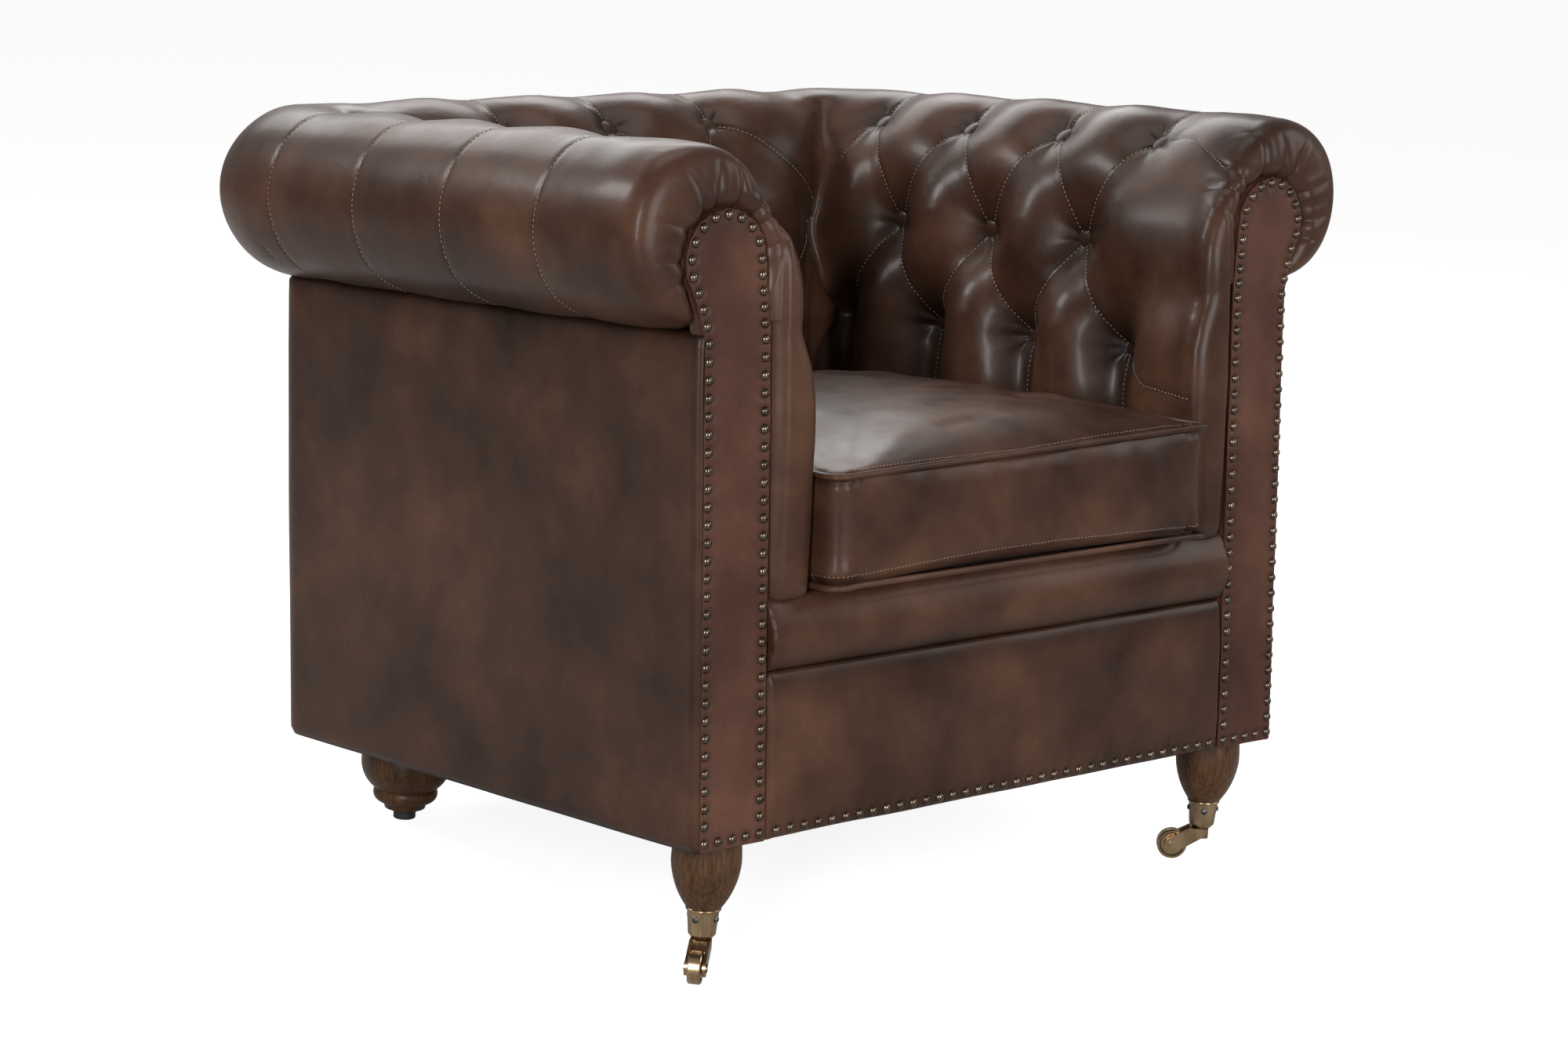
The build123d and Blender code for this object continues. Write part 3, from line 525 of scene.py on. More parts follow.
def finer_front(piece):
    """More points where the cover is gathered round the facings' arches."""
    depth, reach = 64 * mm, 108 * mm

    def inside(vert):
        x, y, z = vert.co
        return y < depth and z > under_seam_z and math.hypot(abs(x) + head_x, z - head_z) < reach

    bm = bmesh.new()
    bm.from_mesh(piece.data)
    chosen = [edge for edge in bm.edges if inside(edge.verts[0]) and inside(edge.verts[1])]
    bmesh.ops.subdivide_edges(bm, edges=chosen, cuts=1, use_grid_fill=True)
    bm.to_mesh(piece.data)
    bm.free()


def front_still(co):
    """Holds all but the pads' front edges beside the facings."""
    depth, fade, lip, lip_fade, inset = 44 * mm, 12 * mm, 2 * mm, 4 * mm, 3 * mm
    edge = np.clip((depth - co[:, 1]) / fade, 0, 1) * np.clip((co[:, 1] - lip) / lip_fade, 0, 1)
    return 1 - edge * (np.abs(co[:, 0]) < facing_inner - inset)


def front_bulge(piece):
    """The pads' front edges stand full beside the facings and clear of the cushion."""
    side_push, arch_push, lip, fade = 9 * mm, 4.5 * mm, 2 * mm, 12 * mm
    low_share, rising_share, full_height, middle, reach = 0.45, 0.55, 140 * mm, 4 * mm, 20 * mm
    over_cushion, clear, squeezed, depth, over_seam = 12 * mm, 2.5 * mm, 12 * mm, 60 * mm, 8 * mm
    co, out = coordinates(piece.data), normals(piece.data)
    beside = np.clip((facing_inner - lip - np.abs(co[:, 0])) / fade, 0, 1)
    beside *= low_share + rising_share * np.clip((co[:, 2] - pad_low_z) / full_height, 0, 1)
    ring = np.hypot(np.abs(co[:, 0]) + head_x, co[:, 2] - head_z)
    round_arch = np.clip((ring - head_radius - lip) / fade, 0, 1) * (co[:, 2] > under_seam_z + over_seam)
    push = np.maximum(side_push * beside, arch_push * round_arch)
    push *= np.exp(-((co[:, 1] - middle) / reach) ** 2)
    co += out * push[:, None]
    low = co[:, 2] < cushion_high_z + over_cushion
    limit = cushion_half + clear
    close = low & (np.abs(co[:, 0]) < limit) & (np.abs(co[:, 0]) > limit - squeezed) & (co[:, 1] < depth)
    co[close, 0] = np.sign(co[close, 0]) * limit
    set_coordinates(piece.data, co)


# folds round a facing's arch: direction seen from the arch's middle, height and length in mm of each
arch_folds = [(0.15, 1.4, 30), (0.55, 2.0, 42), (0.92, 2.2, 48), (1.3, 2.6, 52), (1.72, 2.2, 44),
              (2.15, 2.6, 50), (2.6, 2.4, 44), (3.05, 2.2, 36), (3.5, 1.6, 28)]


def front_gathers(piece):
    """Folds of the roll's cover where it is drawn in round the facing's arch."""
    line, beside, beside_width, start = 2.2 * mm, 8 * mm, 5 * mm, 5 * mm
    widest, over_seam, inside_head, reach = 90 * mm, 4 * mm, 4 * mm, 110 * mm
    co, out = coordinates(piece.data), normals(piece.data)
    a, b = -np.abs(co[:, 0]) - head_x, co[:, 2] - head_z
    angle = np.arctan2(b, a)
    ring = np.hypot(a, b)
    away = np.hypot(np.clip(ring - head_radius, 0, None), np.clip(co[:, 1], 0, None))
    fold = np.zeros(len(co))
    for number, (turn, height, length) in enumerate(arch_folds):
        bent = angle - turn - 0.08 * np.sin(away * 45 + number * 2)
        off = np.abs((bent + math.pi) % (2 * math.pi) - math.pi) * np.minimum(ring, widest)
        fade = np.clip(1 - away / (length * mm), 0, 1) ** 0.6 * np.clip(away / start, 0, 1)
        groove = np.exp(-off / line) - 0.5 * np.exp(-((off - beside) / beside_width) ** 2)
        fold += height * mm * fade * groove
    fold *= (co[:, 2] > under_seam_z + over_seam) & (ring > head_radius - inside_head) & (ring < reach)
    set_coordinates(piece.data, co - out * fold[:, None])


def padding(places, arm_lines, back_lines):
    """The tufted shell of arms and back, one cover drawn in at the buttons and sewn along the seams."""
    corners = [((sign * corner_fill_x, corner_fill_y, corner_fill_z), corner_fill_size) for sign in (-1, 1)]
    pads = ["arm_pad_left", "back_pad", "arm_pad_right"]
    piece = remeshed("tufted_cover", pads, voxel=6 * mm, rounds=3, fills=corners)
    soften(piece, 34, pads_still)
    even_roll(piece)
    pleats(piece)
    dimples(piece, places)
    inflate(piece, pad_held(piece, places, pads_fixed), pressure=3.0, limit=6 * mm)
    relax(piece, 3)
    refined(piece)
    finer_front(piece)
    front_bulge(piece)
    soften(piece, 10, front_still)
    gathers(piece, places, count=5, reach=26 * mm, height=0.9 * mm)
    rumpled(piece, size=70 * mm, height=1.5 * mm)
    tree = tree_of(piece)
    paths = [on_surface(tree, arm_ray, seam) for seam in arm_lines]
    paths += [[(p * flip, n * flip) for p, n in path] for path in paths]
    paths += [on_surface(tree, back_ray, seam) for seam in back_lines]
    bend = on_surface(tree, corner_ray, [(0, low_drop), (0, 0), (0, top_drop), (0, over_drop)])
    bends = [bend, [(p * flip, n * flip) for p, n in bend]]
    front_gathers(piece)
    bends = seamed(piece, bends, depth=2.6 * mm, width=4 * mm)
    return piece, seamed(piece, paths, depth=0.9 * mm, width=1.5 * mm), bends


def paint_pad_shade(piece, places, gap_points):
    """Stores as painted shade how near each point is to a seam or a button, darkening the leather's colour there.
    """
    seam_reach, button_reach, inner_start, inner_blend = 40 * mm, 60 * mm, 5 * mm, 30 * mm
    seam_line, seam_shade, funnel_shade = 1.8 * mm, 9 * mm, 25 * mm
    co = coordinates(piece.data)
    seam = near(co, gap_points, seam_reach)
    button = near(co, [p for p, _ in places], button_reach)
    inner = np.clip((-wall_offset(co)[0] - inner_start) / inner_blend, 0, 1)
    # painted shade: dark along the seams, on the inner side beside them, and in the funnels round the buttons
    line = 0.45 * np.exp(-(seam / seam_line) ** 2) + 0.22 * inner * np.exp(-(seam / seam_shade) ** 1.2)
    store(piece, "painted_shade", np.clip(line + 0.95 * np.exp(-(button / funnel_shade) ** 1.6), 0, 1))


def button_piece(name, places):
    """Leather-covered buttons: a cushioned dome with a drawn-in edge."""
    rise, edge, foot_depth, foot_share = 5.2 * mm, 2.2 * mm, 1 * mm, 0.55
    turns = [math.radians(a) for a in range(-38, 91, 16)]
    dome = [(button_radius * math.cos(t), 0, edge + (rise - edge) * math.sin(t)) for t in turns]
    bm = bmesh.new()
    for place, out in places:
        before = set(bm.verts)
        rim = [bm.verts.new(spot) for spot in dome]
        foot = bm.verts.new((button_radius * foot_share, 0, -foot_depth))
        profile = [foot] + rim
        edges = [bm.edges.new(pair) for pair in zip(profile, profile[1:])]
        bmesh.ops.spin(bm, geom=profile + edges, cent=(0, 0, 0), axis=(0, 0, 1), angle=2 * math.pi,
                       steps=24, use_merge=True)
        turned = [vert for vert in bm.verts if vert not in before]
        place_at = Matrix.Translation(place) @ Vector(out).to_track_quat("Z", "Y").to_matrix().to_4x4()
        bmesh.ops.transform(bm, matrix=place_at, verts=turned)
    bmesh.ops.remove_doubles(bm, verts=bm.verts, dist=0.02 * mm)
    bmesh.ops.recalc_face_normals(bm, faces=bm.faces)
    return from_bmesh(name, bm)


def stitches(name, paths, pitch_length=5 * mm, length=3.4 * mm, radius=0.42 * mm):
    """Thread stitches laid along the seams."""
    proud_share = 0.7
    bm = bmesh.new()
    for path in paths:
        run, due = 0, pitch_length / 2
        for (p, n), (q, _) in zip(path, path[1:]):
            span = (q - p).length
            while span and due <= run + span:
                middle = p + (q - p) * ((due - run) / span)
                along = (q - p).normalized()
                side = n.cross(along).normalized()
                turn = Matrix((along, side, along.cross(side))).transposed().to_4x4()
                size = Matrix.Diagonal((length / 2, radius, radius, 1))
                spot = Matrix.Translation(middle + n * radius * proud_share)
                bmesh.ops.create_icosphere(bm, subdivisions=1, radius=1, matrix=spot @ turn @ size)
                due += pitch_length
            run += span
    return from_bmesh(name, bm)


# materials
def node(tree, kind, inputs=(), **settings):
    made = tree.nodes.new(kind)
    for key, value in settings.items():
        setattr(made, key, value)
    for key, value in dict(inputs).items():
        if isinstance(value, bpy.types.NodeSocket):
            tree.links.new(value, made.inputs[key])
        else:
            made.inputs[key].default_value = value
    return made


def object_place(tree, size=(1, 1, 1)):
    coordinate = node(tree, "ShaderNodeTexCoord")
    return node(tree, "ShaderNodeMapping", {"Vector": coordinate.outputs["Object"], "Scale": size}).outputs[0]


def noise_of(tree, place, scale, detail=4, roughness=0.5, distortion=0):
    return node(tree, "ShaderNodeTexNoise", {"Vector": place, "Scale": scale, "Detail": detail,
                                             "Roughness": roughness, "Distortion": distortion}).outputs["Fac"]


def ramp(tree, share, stops):
    made = node(tree, "ShaderNodeValToRGB", {"Fac": share})
    elements = made.color_ramp.elements
    while len(elements) < len(stops):
        elements.new(0.5)
    for element, (place, colour) in zip(elements, stops):
        element.position = place
        element.color = (*colour, 1) if len(colour) == 3 else colour
    return made.outputs["Color"]


def grey(value):
    return (value, value, value)


def mix(tree, share, a, b, blend="MIX"):
    made = node(tree, "ShaderNodeMix", data_type="RGBA", blend_type=blend)
    sockets = {s.identifier: s for s in made.inputs}
    for socket, value in ((sockets["Factor_Float"], share), (sockets["A_Color"], a), (sockets["B_Color"], b)):
        if isinstance(value, bpy.types.NodeSocket):
            tree.links.new(value, socket)
        else:
            socket.default_value = value if socket.type == "VALUE" else (*value, 1)
    return next(s for s in made.outputs if s.identifier == "Result_Color")


def maths(tree, operation, a, b=0.5):
    made = node(tree, "ShaderNodeMath", operation=operation)
    for socket, value in zip(made.inputs, (a, b)):
        if isinstance(value, bpy.types.NodeSocket):
            tree.links.new(value, socket)
        else:
            socket.default_value = value
    return made.outputs[0]


def bump(tree, height, strength, distance, normal=None):
    inputs = {"Height": height, "Strength": strength, "Distance": distance}
    if normal:
        inputs["Normal"] = normal
    return node(tree, "ShaderNodeBump", inputs).outputs["Normal"]


def cells(tree, place, scale, line):
    """White cells with dark lines between them, for pores and creases."""
    edges = node(tree, "ShaderNodeTexVoronoi", {"Vector": place, "Scale": scale}, feature="DISTANCE_TO_EDGE")
    return ramp(tree, edges.outputs["Distance"], [(0.0, grey(0)), (line, grey(1))])


def material(name, **constants):
    """A new material, its shader's sockets set by name with _ for each space."""
    made = bpy.data.materials.new(name)
    made.use_nodes = True
    shader = made.node_tree.nodes["Principled BSDF"]
    for key, value in constants.items():
        shader.inputs[key.replace("_", " ")].default_value = value
    return made, made.node_tree, shader


def leather(name, dark, middle, light, rough, coat, wear=1.0):
    """Hand-rubbed leather: cloudy antiqued colour, painted shade in its hollows, fine pores and creases."""
    made, tree, shader = material(name, Coat_Weight=coat, Coat_Roughness=0.2, Specular_IOR_Level=0.12)
    place = object_place(tree)
    cloud = noise_of(tree, place, scale=9, detail=5, roughness=0.55)
    patch = noise_of(tree, place, scale=30, detail=4, roughness=0.55)
    fleck = noise_of(tree, place, scale=420, detail=2)
    tone = ramp(tree, cloud, [(0.26, dark), (0.5, middle), (0.8, light)])
    spot = ramp(tree, patch, [(0.3, grey(0.84)), (0.7, grey(1.08))])
    tone = mix(tree, 0.8, tone, spot, "MULTIPLY")
    tone = mix(tree, 0.8, tone, ramp(tree, fleck, [(0.35, grey(0.93)), (0.65, grey(1.06))]), "MULTIPLY")
    # painted shade: the stored shade darkens the colour towards a quarter of the dark tone
    painted_shade = node(tree, "ShaderNodeAttribute", attribute_name="painted_shade").outputs["Fac"]
    tone = mix(tree, maths(tree, "MULTIPLY", painted_shade, 0.75), tone, tuple(c * 0.28 for c in dark))
    tree.links.new(tone, shader.inputs["Base Color"])
    pore = cells(tree, place, scale=900, line=0.16)
    crease = cells(tree, place, scale=95, line=0.05)
    where = ramp(tree, noise_of(tree, place, scale=14, detail=3), [(0.5, grey(0)), (0.68, grey(1))])
    crease = mix(tree, where, grey(1), crease)
    slow = noise_of(tree, place, scale=48, detail=3, roughness=0.5)
    normal = bump(tree, slow, strength=0.1 * wear, distance=0.004)
    normal = bump(tree, crease, strength=0.14 * wear, distance=0.0006, normal=normal)
    normal = bump(tree, pore, strength=0.1, distance=0.0002, normal=normal)
    tree.links.new(normal, shader.inputs["Normal"])
    rub = noise_of(tree, place, scale=18, detail=4, roughness=0.55)
    gloss = ramp(tree, rub, [(0.3, grey(rough - 0.07)), (0.7, grey(rough + 0.09))])
    tree.links.new(gloss, shader.inputs["Roughness"])
    return made


def wood(name, dark, light, rough):
    """Stained wood, its grain drawn out along the turned leg."""
    made, tree, shader = material(name, Coat_Weight=0.06, Coat_Roughness=0.3, Specular_IOR_Level=0.2)
    place = object_place(tree, (1, 1, 0.12))
    grain = noise_of(tree, place, scale=420, detail=6, roughness=0.6, distortion=0.6)
    broad = noise_of(tree, place, scale=60, detail=3, roughness=0.5)
    tone = ramp(tree, grain, [(0.3, dark), (0.68, light)])
    shade = ramp(tree, broad, [(0.35, grey(0.55)), (0.65, grey(1.15))])
    tree.links.new(mix(tree, 0.6, tone, shade, "MULTIPLY"), shader.inputs["Base Color"])
    tree.links.new(bump(tree, grain, strength=0.25, distance=0.0004), shader.inputs["Normal"])
    gloss = ramp(tree, broad, [(0.3, grey(rough - 0.08)), (0.7, grey(rough + 0.1))])
    tree.links.new(gloss, shader.inputs["Roughness"])
    return made


def metal(name, dark, light, rough, scale=160, stretch=(1, 1, 1)):
    """Tarnished metal, duller where it is darker."""
    made, tree, shader = material(name, Metallic=1.0)
    place = object_place(tree, stretch)
    tarnish = noise_of(tree, place, scale, detail=5, roughness=0.65)
    tree.links.new(ramp(tree, tarnish, [(0.35, dark), (0.65, light)]), shader.inputs["Base Color"])
    fine = noise_of(tree, place, scale=900, detail=3)
    tree.links.new(bump(tree, fine, strength=0.05, distance=0.0001), shader.inputs["Normal"])
    gloss = ramp(tree, tarnish, [(0.3, grey(rough + 0.1)), (0.7, grey(rough - 0.05))])
    tree.links.new(gloss, shader.inputs["Roughness"])
    return made


def plain(name, dark, light, rough, scale, sheen=0.0):
    """A matt surface with a fine fleck: timber, cloth, thread and black glides."""
    made, tree, shader = material(name, Roughness=rough, Sheen_Weight=sheen)
    fleck = noise_of(tree, object_place(tree), scale, detail=4)
    tree.links.new(ramp(tree, fleck, [(0.35, dark), (0.65, light)]), shader.inputs["Base Color"])
    tree.links.new(bump(tree, fleck, strength=0.3, distance=0.0004), shader.inputs["Normal"])
    return made


looks = {
    "leather": leather("leather", (0.018, 0.0085, 0.0058), (0.044, 0.0198, 0.0118), (0.09, 0.041, 0.0225),
                       rough=0.37, coat=0.09),
    "facing_leather": leather("facing_leather", (0.032, 0.0135, 0.0088), (0.062, 0.0265, 0.0175),
                              (0.105, 0.047, 0.03), rough=0.48, coat=0.03, wear=1.4),
    "timber": plain("timber", (0.38, 0.25, 0.14), (0.55, 0.4, 0.25), rough=0.7, scale=120),
    "turned_wood": wood("turned_wood", (0.027, 0.0115, 0.005), (0.104, 0.048, 0.0195), rough=0.4),
    "webbing": plain("webbing", (0.26, 0.2, 0.13), (0.4, 0.32, 0.22), rough=0.9, scale=400, sheen=0.2),
    "lining": plain("lining", (0.006, 0.005, 0.0045), (0.014, 0.012, 0.011), rough=0.95, scale=700),
    "nail_bronze": metal("nail_bronze", (0.055, 0.042, 0.031), (0.14, 0.11, 0.08), rough=0.2, scale=45),
    "brass": metal("brass", (0.17, 0.11, 0.06), (0.46, 0.33, 0.195), rough=0.26, scale=60,
                   stretch=(1, 1, 0.35)),
    "steel": metal("steel", grey(0.35), grey(0.6), rough=0.35),
    "dark_steel": metal("dark_steel", grey(0.05), grey(0.14), rough=0.4),
    "glide_black": plain("glide_black", grey(0.008), grey(0.02), rough=0.6, scale=500),
    "thread": plain("thread", (0.2, 0.13, 0.085), (0.32, 0.22, 0.15), rough=0.75, scale=900, sheen=0.3),
}

for part in frame["record"]["subparts"]:
    mesh = nodes[part["node"]].data
    mesh.materials.clear()
    mesh.materials.append(looks[part["material_slot"]])


def dress(piece, slot_name, body="chair", look=None):
    piece.data.materials.clear()
    piece.data.materials.append(looks[look or slot_name])
    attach(piece, body)
    return piece


def placed_paths(paths):
    """Seams taken from the level frame of the body to their place on the legs."""
    turn = body_place.to_3x3()
    return [[(body_place @ p, turn @ n) for p, n in path] for path in paths if len(path) > 3]


# tufted arms and back
arm_places = button_places("arm_buttons_left", (1, 0, 0), Vector((-base_half, 0, 0)))
back_places = button_places("back_buttons", (0, -1, 0), Vector((0, base_depth, 0)))
right_places = [(p * flip, o * flip) for p, o in arm_places]
arm_seams = lattice(arm_top, arm_middle, [(arm_top[-1], corner_along)])
# two seams that run forward from the first buttons
front_seam = [(arm_top[0], bottom_drop), (arm_top[0] - 60 * mm, bottom_drop + 27 * mm),
              (4 * mm, bottom_drop + 34 * mm)]
arch_seam = [(arm_top[0], top_drop), (arm_top[0] - 55 * mm, top_drop + 4 * mm),
             (20 * mm, top_drop + 45 * mm)]
back_seams = lattice(back_top, back_middle, [(-pitch, -back_corner_along), (pitch, back_corner_along)])
all_places = arm_places + right_places + back_places
cover, cover_paths, bends = padding(all_places, arm_seams + [front_seam, arch_seam], back_seams)
paint_pad_shade(cover, all_places, [p for path in cover_paths + bends for p, _ in path])
placed(cover)
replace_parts(dress(cover, "leather"), "arm_pad_left", "arm_pad_right", "back_pad")

# painted shade: each button cover is darkened evenly, for the shade of the funnel it sits in
button_shade = 0.55
for name, places, node_name in (("arm_button_covers_left", arm_places, "arm_buttons_left"),
                                ("arm_button_covers_right", right_places, "arm_buttons_right"),
                                ("back_button_covers", back_places, "back_buttons")):
    piece = button_piece(name, places)
    store(piece, "painted_shade", np.full(len(piece.data.vertices), button_shade))
    placed(piece)
    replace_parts(dress(piece, "leather"), node_name)
dress(stitches("seam_stitches", placed_paths(cover_paths)), "leather", look="thread")


# facings: leather drawn over the board, held down by the nails
nail_seat, facing_seat_reach = 0.3 * mm, 7 * mm
panel_seat, panel_seat_reach = 0.3 * mm, 6.2 * mm


def facing_cover(side):
    """Leather over a facing's board, puffed between the nails and sunk where they hold it."""
    puff, puff_reach, sunk, front_depth = 1.1 * mm, 9 * mm, 0.2 * mm, 6 * mm
    wrap, wrap_start, wrap_blend, shade_reach = 2.6 * mm, 5 * mm, 3 * mm, 6.5 * mm
    nodes_under = ["facing_" + side, "facing_board_" + side]
    piece = remeshed("facing_cover_" + side, nodes_under, voxel=2.6 * mm, rounds=3)
    refined(piece)
    nails = islands("facing_nails_" + side)
    co, out = coordinates(piece.data), normals(piece.data)
    gap = near(co, nails, 40 * mm)
    front = np.clip(-out[:, 1], 0, 1) * (co[:, 1] < front_depth)
    co[:, 1] -= front * (puff * (1 - np.exp(-(gap / puff_reach) ** 2)) - sunk)
    behind = np.clip((co[:, 1] - wrap_start) / wrap_blend, 0, 1)
    co[:, [0, 2]] += out[:, [0, 2]] * (wrap * behind)[:, None]
    set_coordinates(piece.data, co)
    rumpled(piece, size=45 * mm, height=0.9 * mm, seed=3)
    co = coordinates(piece.data)
    co[:, 1] += (nail_seat - co[:, 1]) * np.exp(-(gap / facing_seat_reach) ** 8) * (front > 0.3)
    set_coordinates(piece.data, co)
    # painted shade round each nail on the front
    store(piece, "painted_shade", np.exp(-(gap / shade_reach) ** 2) * 0.6 * front)
    placed(piece)
    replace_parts(dress(piece, "facing_leather"), *nodes_under)


facing_cover("left")
facing_cover("right")


# front border: padded roll above, plain panel below
end_tuck, end_inset, end_fade = 1.2 * mm, 14 * mm, 8 * mm


def border_ends(co):
    return np.clip((np.abs(co[:, 0]) - facing_inner + end_inset) / end_fade, 0, 1)


def border_cover():
    """The border's padded roll, loosest in the middle and pulled in folds at its ends."""
    end_reach, slow, folds, drawn = 45 * mm, 1.8 * mm, 1.6 * mm, 0.6 * mm
    raised, raised_from, raised_blend, shade_depth = 6 * mm, 190 * mm, 25 * mm, 14 * mm
    piece = remeshed("border_roll_cover", ["front_border"], voxel=3.5 * mm, rounds=0)
    soften(piece, 5, border_ends)
    refined(piece)
    co, out = coordinates(piece.data), normals(piece.data)
    ends = np.clip((facing_inner - np.abs(co[:, 0])) / end_reach, 0, 1)
    lift = np.array([noise.noise(Vector((x / 0.16, 0, z / 0.05))) for x, _, z in co])
    pull = np.array([noise.noise(Vector((x / 0.05, z / 0.012, 4))) for x, _, z in co])
    co += out * ((slow * lift + folds * pull * (1 - ends) - drawn * (1 - ends) ** 2))[:, None]
    co[:, 0] *= 1 + end_tuck / facing_inner
    co[:, 2] += raised * np.clip((co[:, 2] - raised_from) / raised_blend, 0, 1)
    set_coordinates(piece.data, co)
    # painted shade along the underside of the roll, darkest at its foot
    store(piece, "painted_shade", np.clip(1 - (co[:, 2] - border_low_z) / shade_depth, 0, 1) * 0.8)
    placed(piece)
    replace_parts(dress(piece, "leather"), "front_border")


def panel_cover():
    """The plain panel under the roll, full in its middle and held at its foot by the nails."""
    puff, puff_reach, front_depth, top_blend, shade_reach = 2.6 * mm, 16 * mm, 10 * mm, 45 * mm, 7 * mm
    piece = remeshed("front_panel_cover", ["front_panel"], voxel=4 * mm, rounds=0)
    soften(piece, 4, border_ends)
    refined(piece)
    nails = islands("border_nails")
    co, out = coordinates(piece.data), normals(piece.data)
    gap = near(co, nails, 60 * mm)
    front = np.clip(-out[:, 1], 0, 1) * (co[:, 1] < front_depth)
    top = np.clip((border_low_z - co[:, 2]) / top_blend, 0, 1)
    top = top * top * (3 - 2 * top)
    co[:, 1] -= front * (puff * (1 - np.exp(-(gap / puff_reach) ** 2)) * top)
    co[:, 0] *= 1 + end_tuck / facing_inner
    set_coordinates(piece.data, co)
    rumpled(piece, size=80 * mm, height=1.2 * mm, seed=7)
    co = coordinates(piece.data)
    seat = np.exp(-(gap / panel_seat_reach) ** 6) * (front > 0.3)
    co[:, 1] += (nail_seat + panel_seat - co[:, 1]) * seat
    set_coordinates(piece.data, co)
    # painted shade round the nails and under the roll at the top
    shade = np.exp(-(gap / shade_reach) ** 2) * 0.5 + (1 - top) ** 2 * 0.8
    store(piece, "painted_shade", np.clip(shade, 0, 1) * front)
    placed(piece)
    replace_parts(dress(piece, "leather"), "front_panel")


border_cover()
panel_cover()


# outer cover: one skin from the left facing round the back to the right facing
cover_run = base_depth - corner_radius - leather_thickness
cover_arc = corner_radius * math.pi / 2
cover_total = 2 * cover_run + 2 * cover_arc + 2 * (base_half - corner_radius)
cover_height = under_seam_z + 2 * mm
tack_pitch = 19 * mm


def round_the_body(along):
    """Place on the right half of the cover's plan at a distance from its facing, and the way outward."""
    if along < cover_run:
        return Vector((base_half, leather_thickness + along, 0)), Vector((1, 0, 0))
    if along < cover_run + cover_arc:
        turn = (along - cover_run) / corner_radius
        out = Vector((math.cos(turn), math.sin(turn), 0))
        return Vector((base_half - corner_radius, base_depth - corner_radius, 0)) + corner_radius * out, out
    x = base_half - corner_radius - (along - cover_run - cover_arc)
    return Vector((x, base_depth, 0)), Vector((0, 1, 0))


def cover_lift(s, z, along):
    """How far the skin stands off its plan: full in the middle, pulled in at the tacks, edges and foot."""
    edge_reach, top_reach, corner_reach, below_top = 60 * mm, 70 * mm, 45 * mm, cover_height - z
    edge = min(along, edge_reach) / edge_reach
    top = min(below_top, top_reach) / top_reach
    tack = math.cos(math.pi * s / tack_pitch) ** 6
    pulls = noise.noise(Vector((s / 0.034, z / 0.2, 5)))
    lift = 2.6 * mm * math.sqrt(edge * top) + 1.3 * mm * noise.noise(Vector((s / 0.13, z / 0.16, 1)))
    strain = 1 + 1.5 * math.exp(-((along - cover_run) / corner_reach) ** 2)
    lift -= 1 * mm * tack * (1 - top) ** 4 * strain
    lift += 1.3 * mm * pulls * (1 - top) ** 2.2 * strain
    lift -= 4 * mm * max(0, 1 - below_top / (6 * mm)) ** 2
    lift -= 2 * mm * max(0, 1 - along / (4 * mm)) ** 2
    lift += 1.2 * mm * math.exp(-((along - 7 * mm) / (4 * mm)) ** 2)
    return lift - 3 * mm * max(0, 1 - z / (7 * mm)) ** 2


def outer_cover():
    inset, thickness, top_shade, edge_shade = 0.4 * mm, 2.4 * mm, 16 * mm, 9 * mm
    bm = bmesh.new()
    bmesh.ops.create_grid(bm, x_segments=330, y_segments=74, size=0.5)
    painted_shade = []
    for vert in bm.verts:
        s, z = (vert.co.x + 0.5) * cover_total, (vert.co.y + 0.5) * cover_height
        along = min(s, cover_total - s)
        sign = -1 if s < cover_total / 2 else 1
        spot, out = round_the_body(along)
        spot += out * (cover_lift(s, z, along) - inset)
        vert.co = Vector((sign * spot.x, spot.y, z))
        # painted shade under the roll at the top and beside the facings at the ends
        painted_shade.append(max(0, 1 - (cover_height - z) / top_shade) * 0.8 + 0.3 * max(0, 1 - along / edge_shade))
    bmesh.ops.recalc_face_normals(bm, faces=bm.faces)
    piece = from_bmesh("outer_cover", bm)
    store(piece, "painted_shade", np.clip(painted_shade, 0, 1))
    solid = piece.modifiers.new("thickness", "SOLIDIFY")
    solid.thickness = thickness
    solid.offset = -1
    placed(piece)
    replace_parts(dress(piece, "leather"), "outer_panel_left", "outer_panel_back", "outer_panel_right")


outer_cover()


# seat cushion: boxed, welted round both edges, its front edge arched over the border
def cushion_settle(co):
    """The cushion on its deck: front edge arched over the border, front corners pushed out to a point."""
    front_y, front_reach, foot_reach, head_start, head_reach = 27 * mm, 70 * mm, 70 * mm, 60 * mm, 48 * mm
    arch, twist, forward, point = 8 * mm, 4 * mm, 2 * mm, 6 * mm
    front = np.exp(-((co[:, 1] + front_y) / front_reach) ** 2)
    across = np.clip(co[:, 0] / cushion_half, -1, 1)
    foot = np.clip(1 - (co[:, 2] - cushion_low_z) / foot_reach, 0, 1)
    head = np.clip((co[:, 2] - cushion_low_z - head_start) / head_reach, 0, 1)
    co[:, 2] += arch * (1 - across ** 2) * front * foot + twist * across * front * head
    co[:, 1] -= forward * (1 - across ** 2) * front * head
    side = np.abs(co[:, 0]) - cushion_half + cushion_corner
    ahead = cushion_corner - cushion_front_reach - co[:, 1]
    inside = (side > 0) & (ahead > 0)
    turn = np.where(inside, np.arctan2(ahead, np.maximum(side, 1e-9)), 0)
    push = point * np.sin(2 * turn) ** 1.5 * np.minimum(1, np.hypot(side, ahead) / cushion_corner)
    co[:, 0] += np.sign(co[:, 0]) * push * np.cos(turn)
    co[:, 1] -= push * np.sin(turn)
    return co


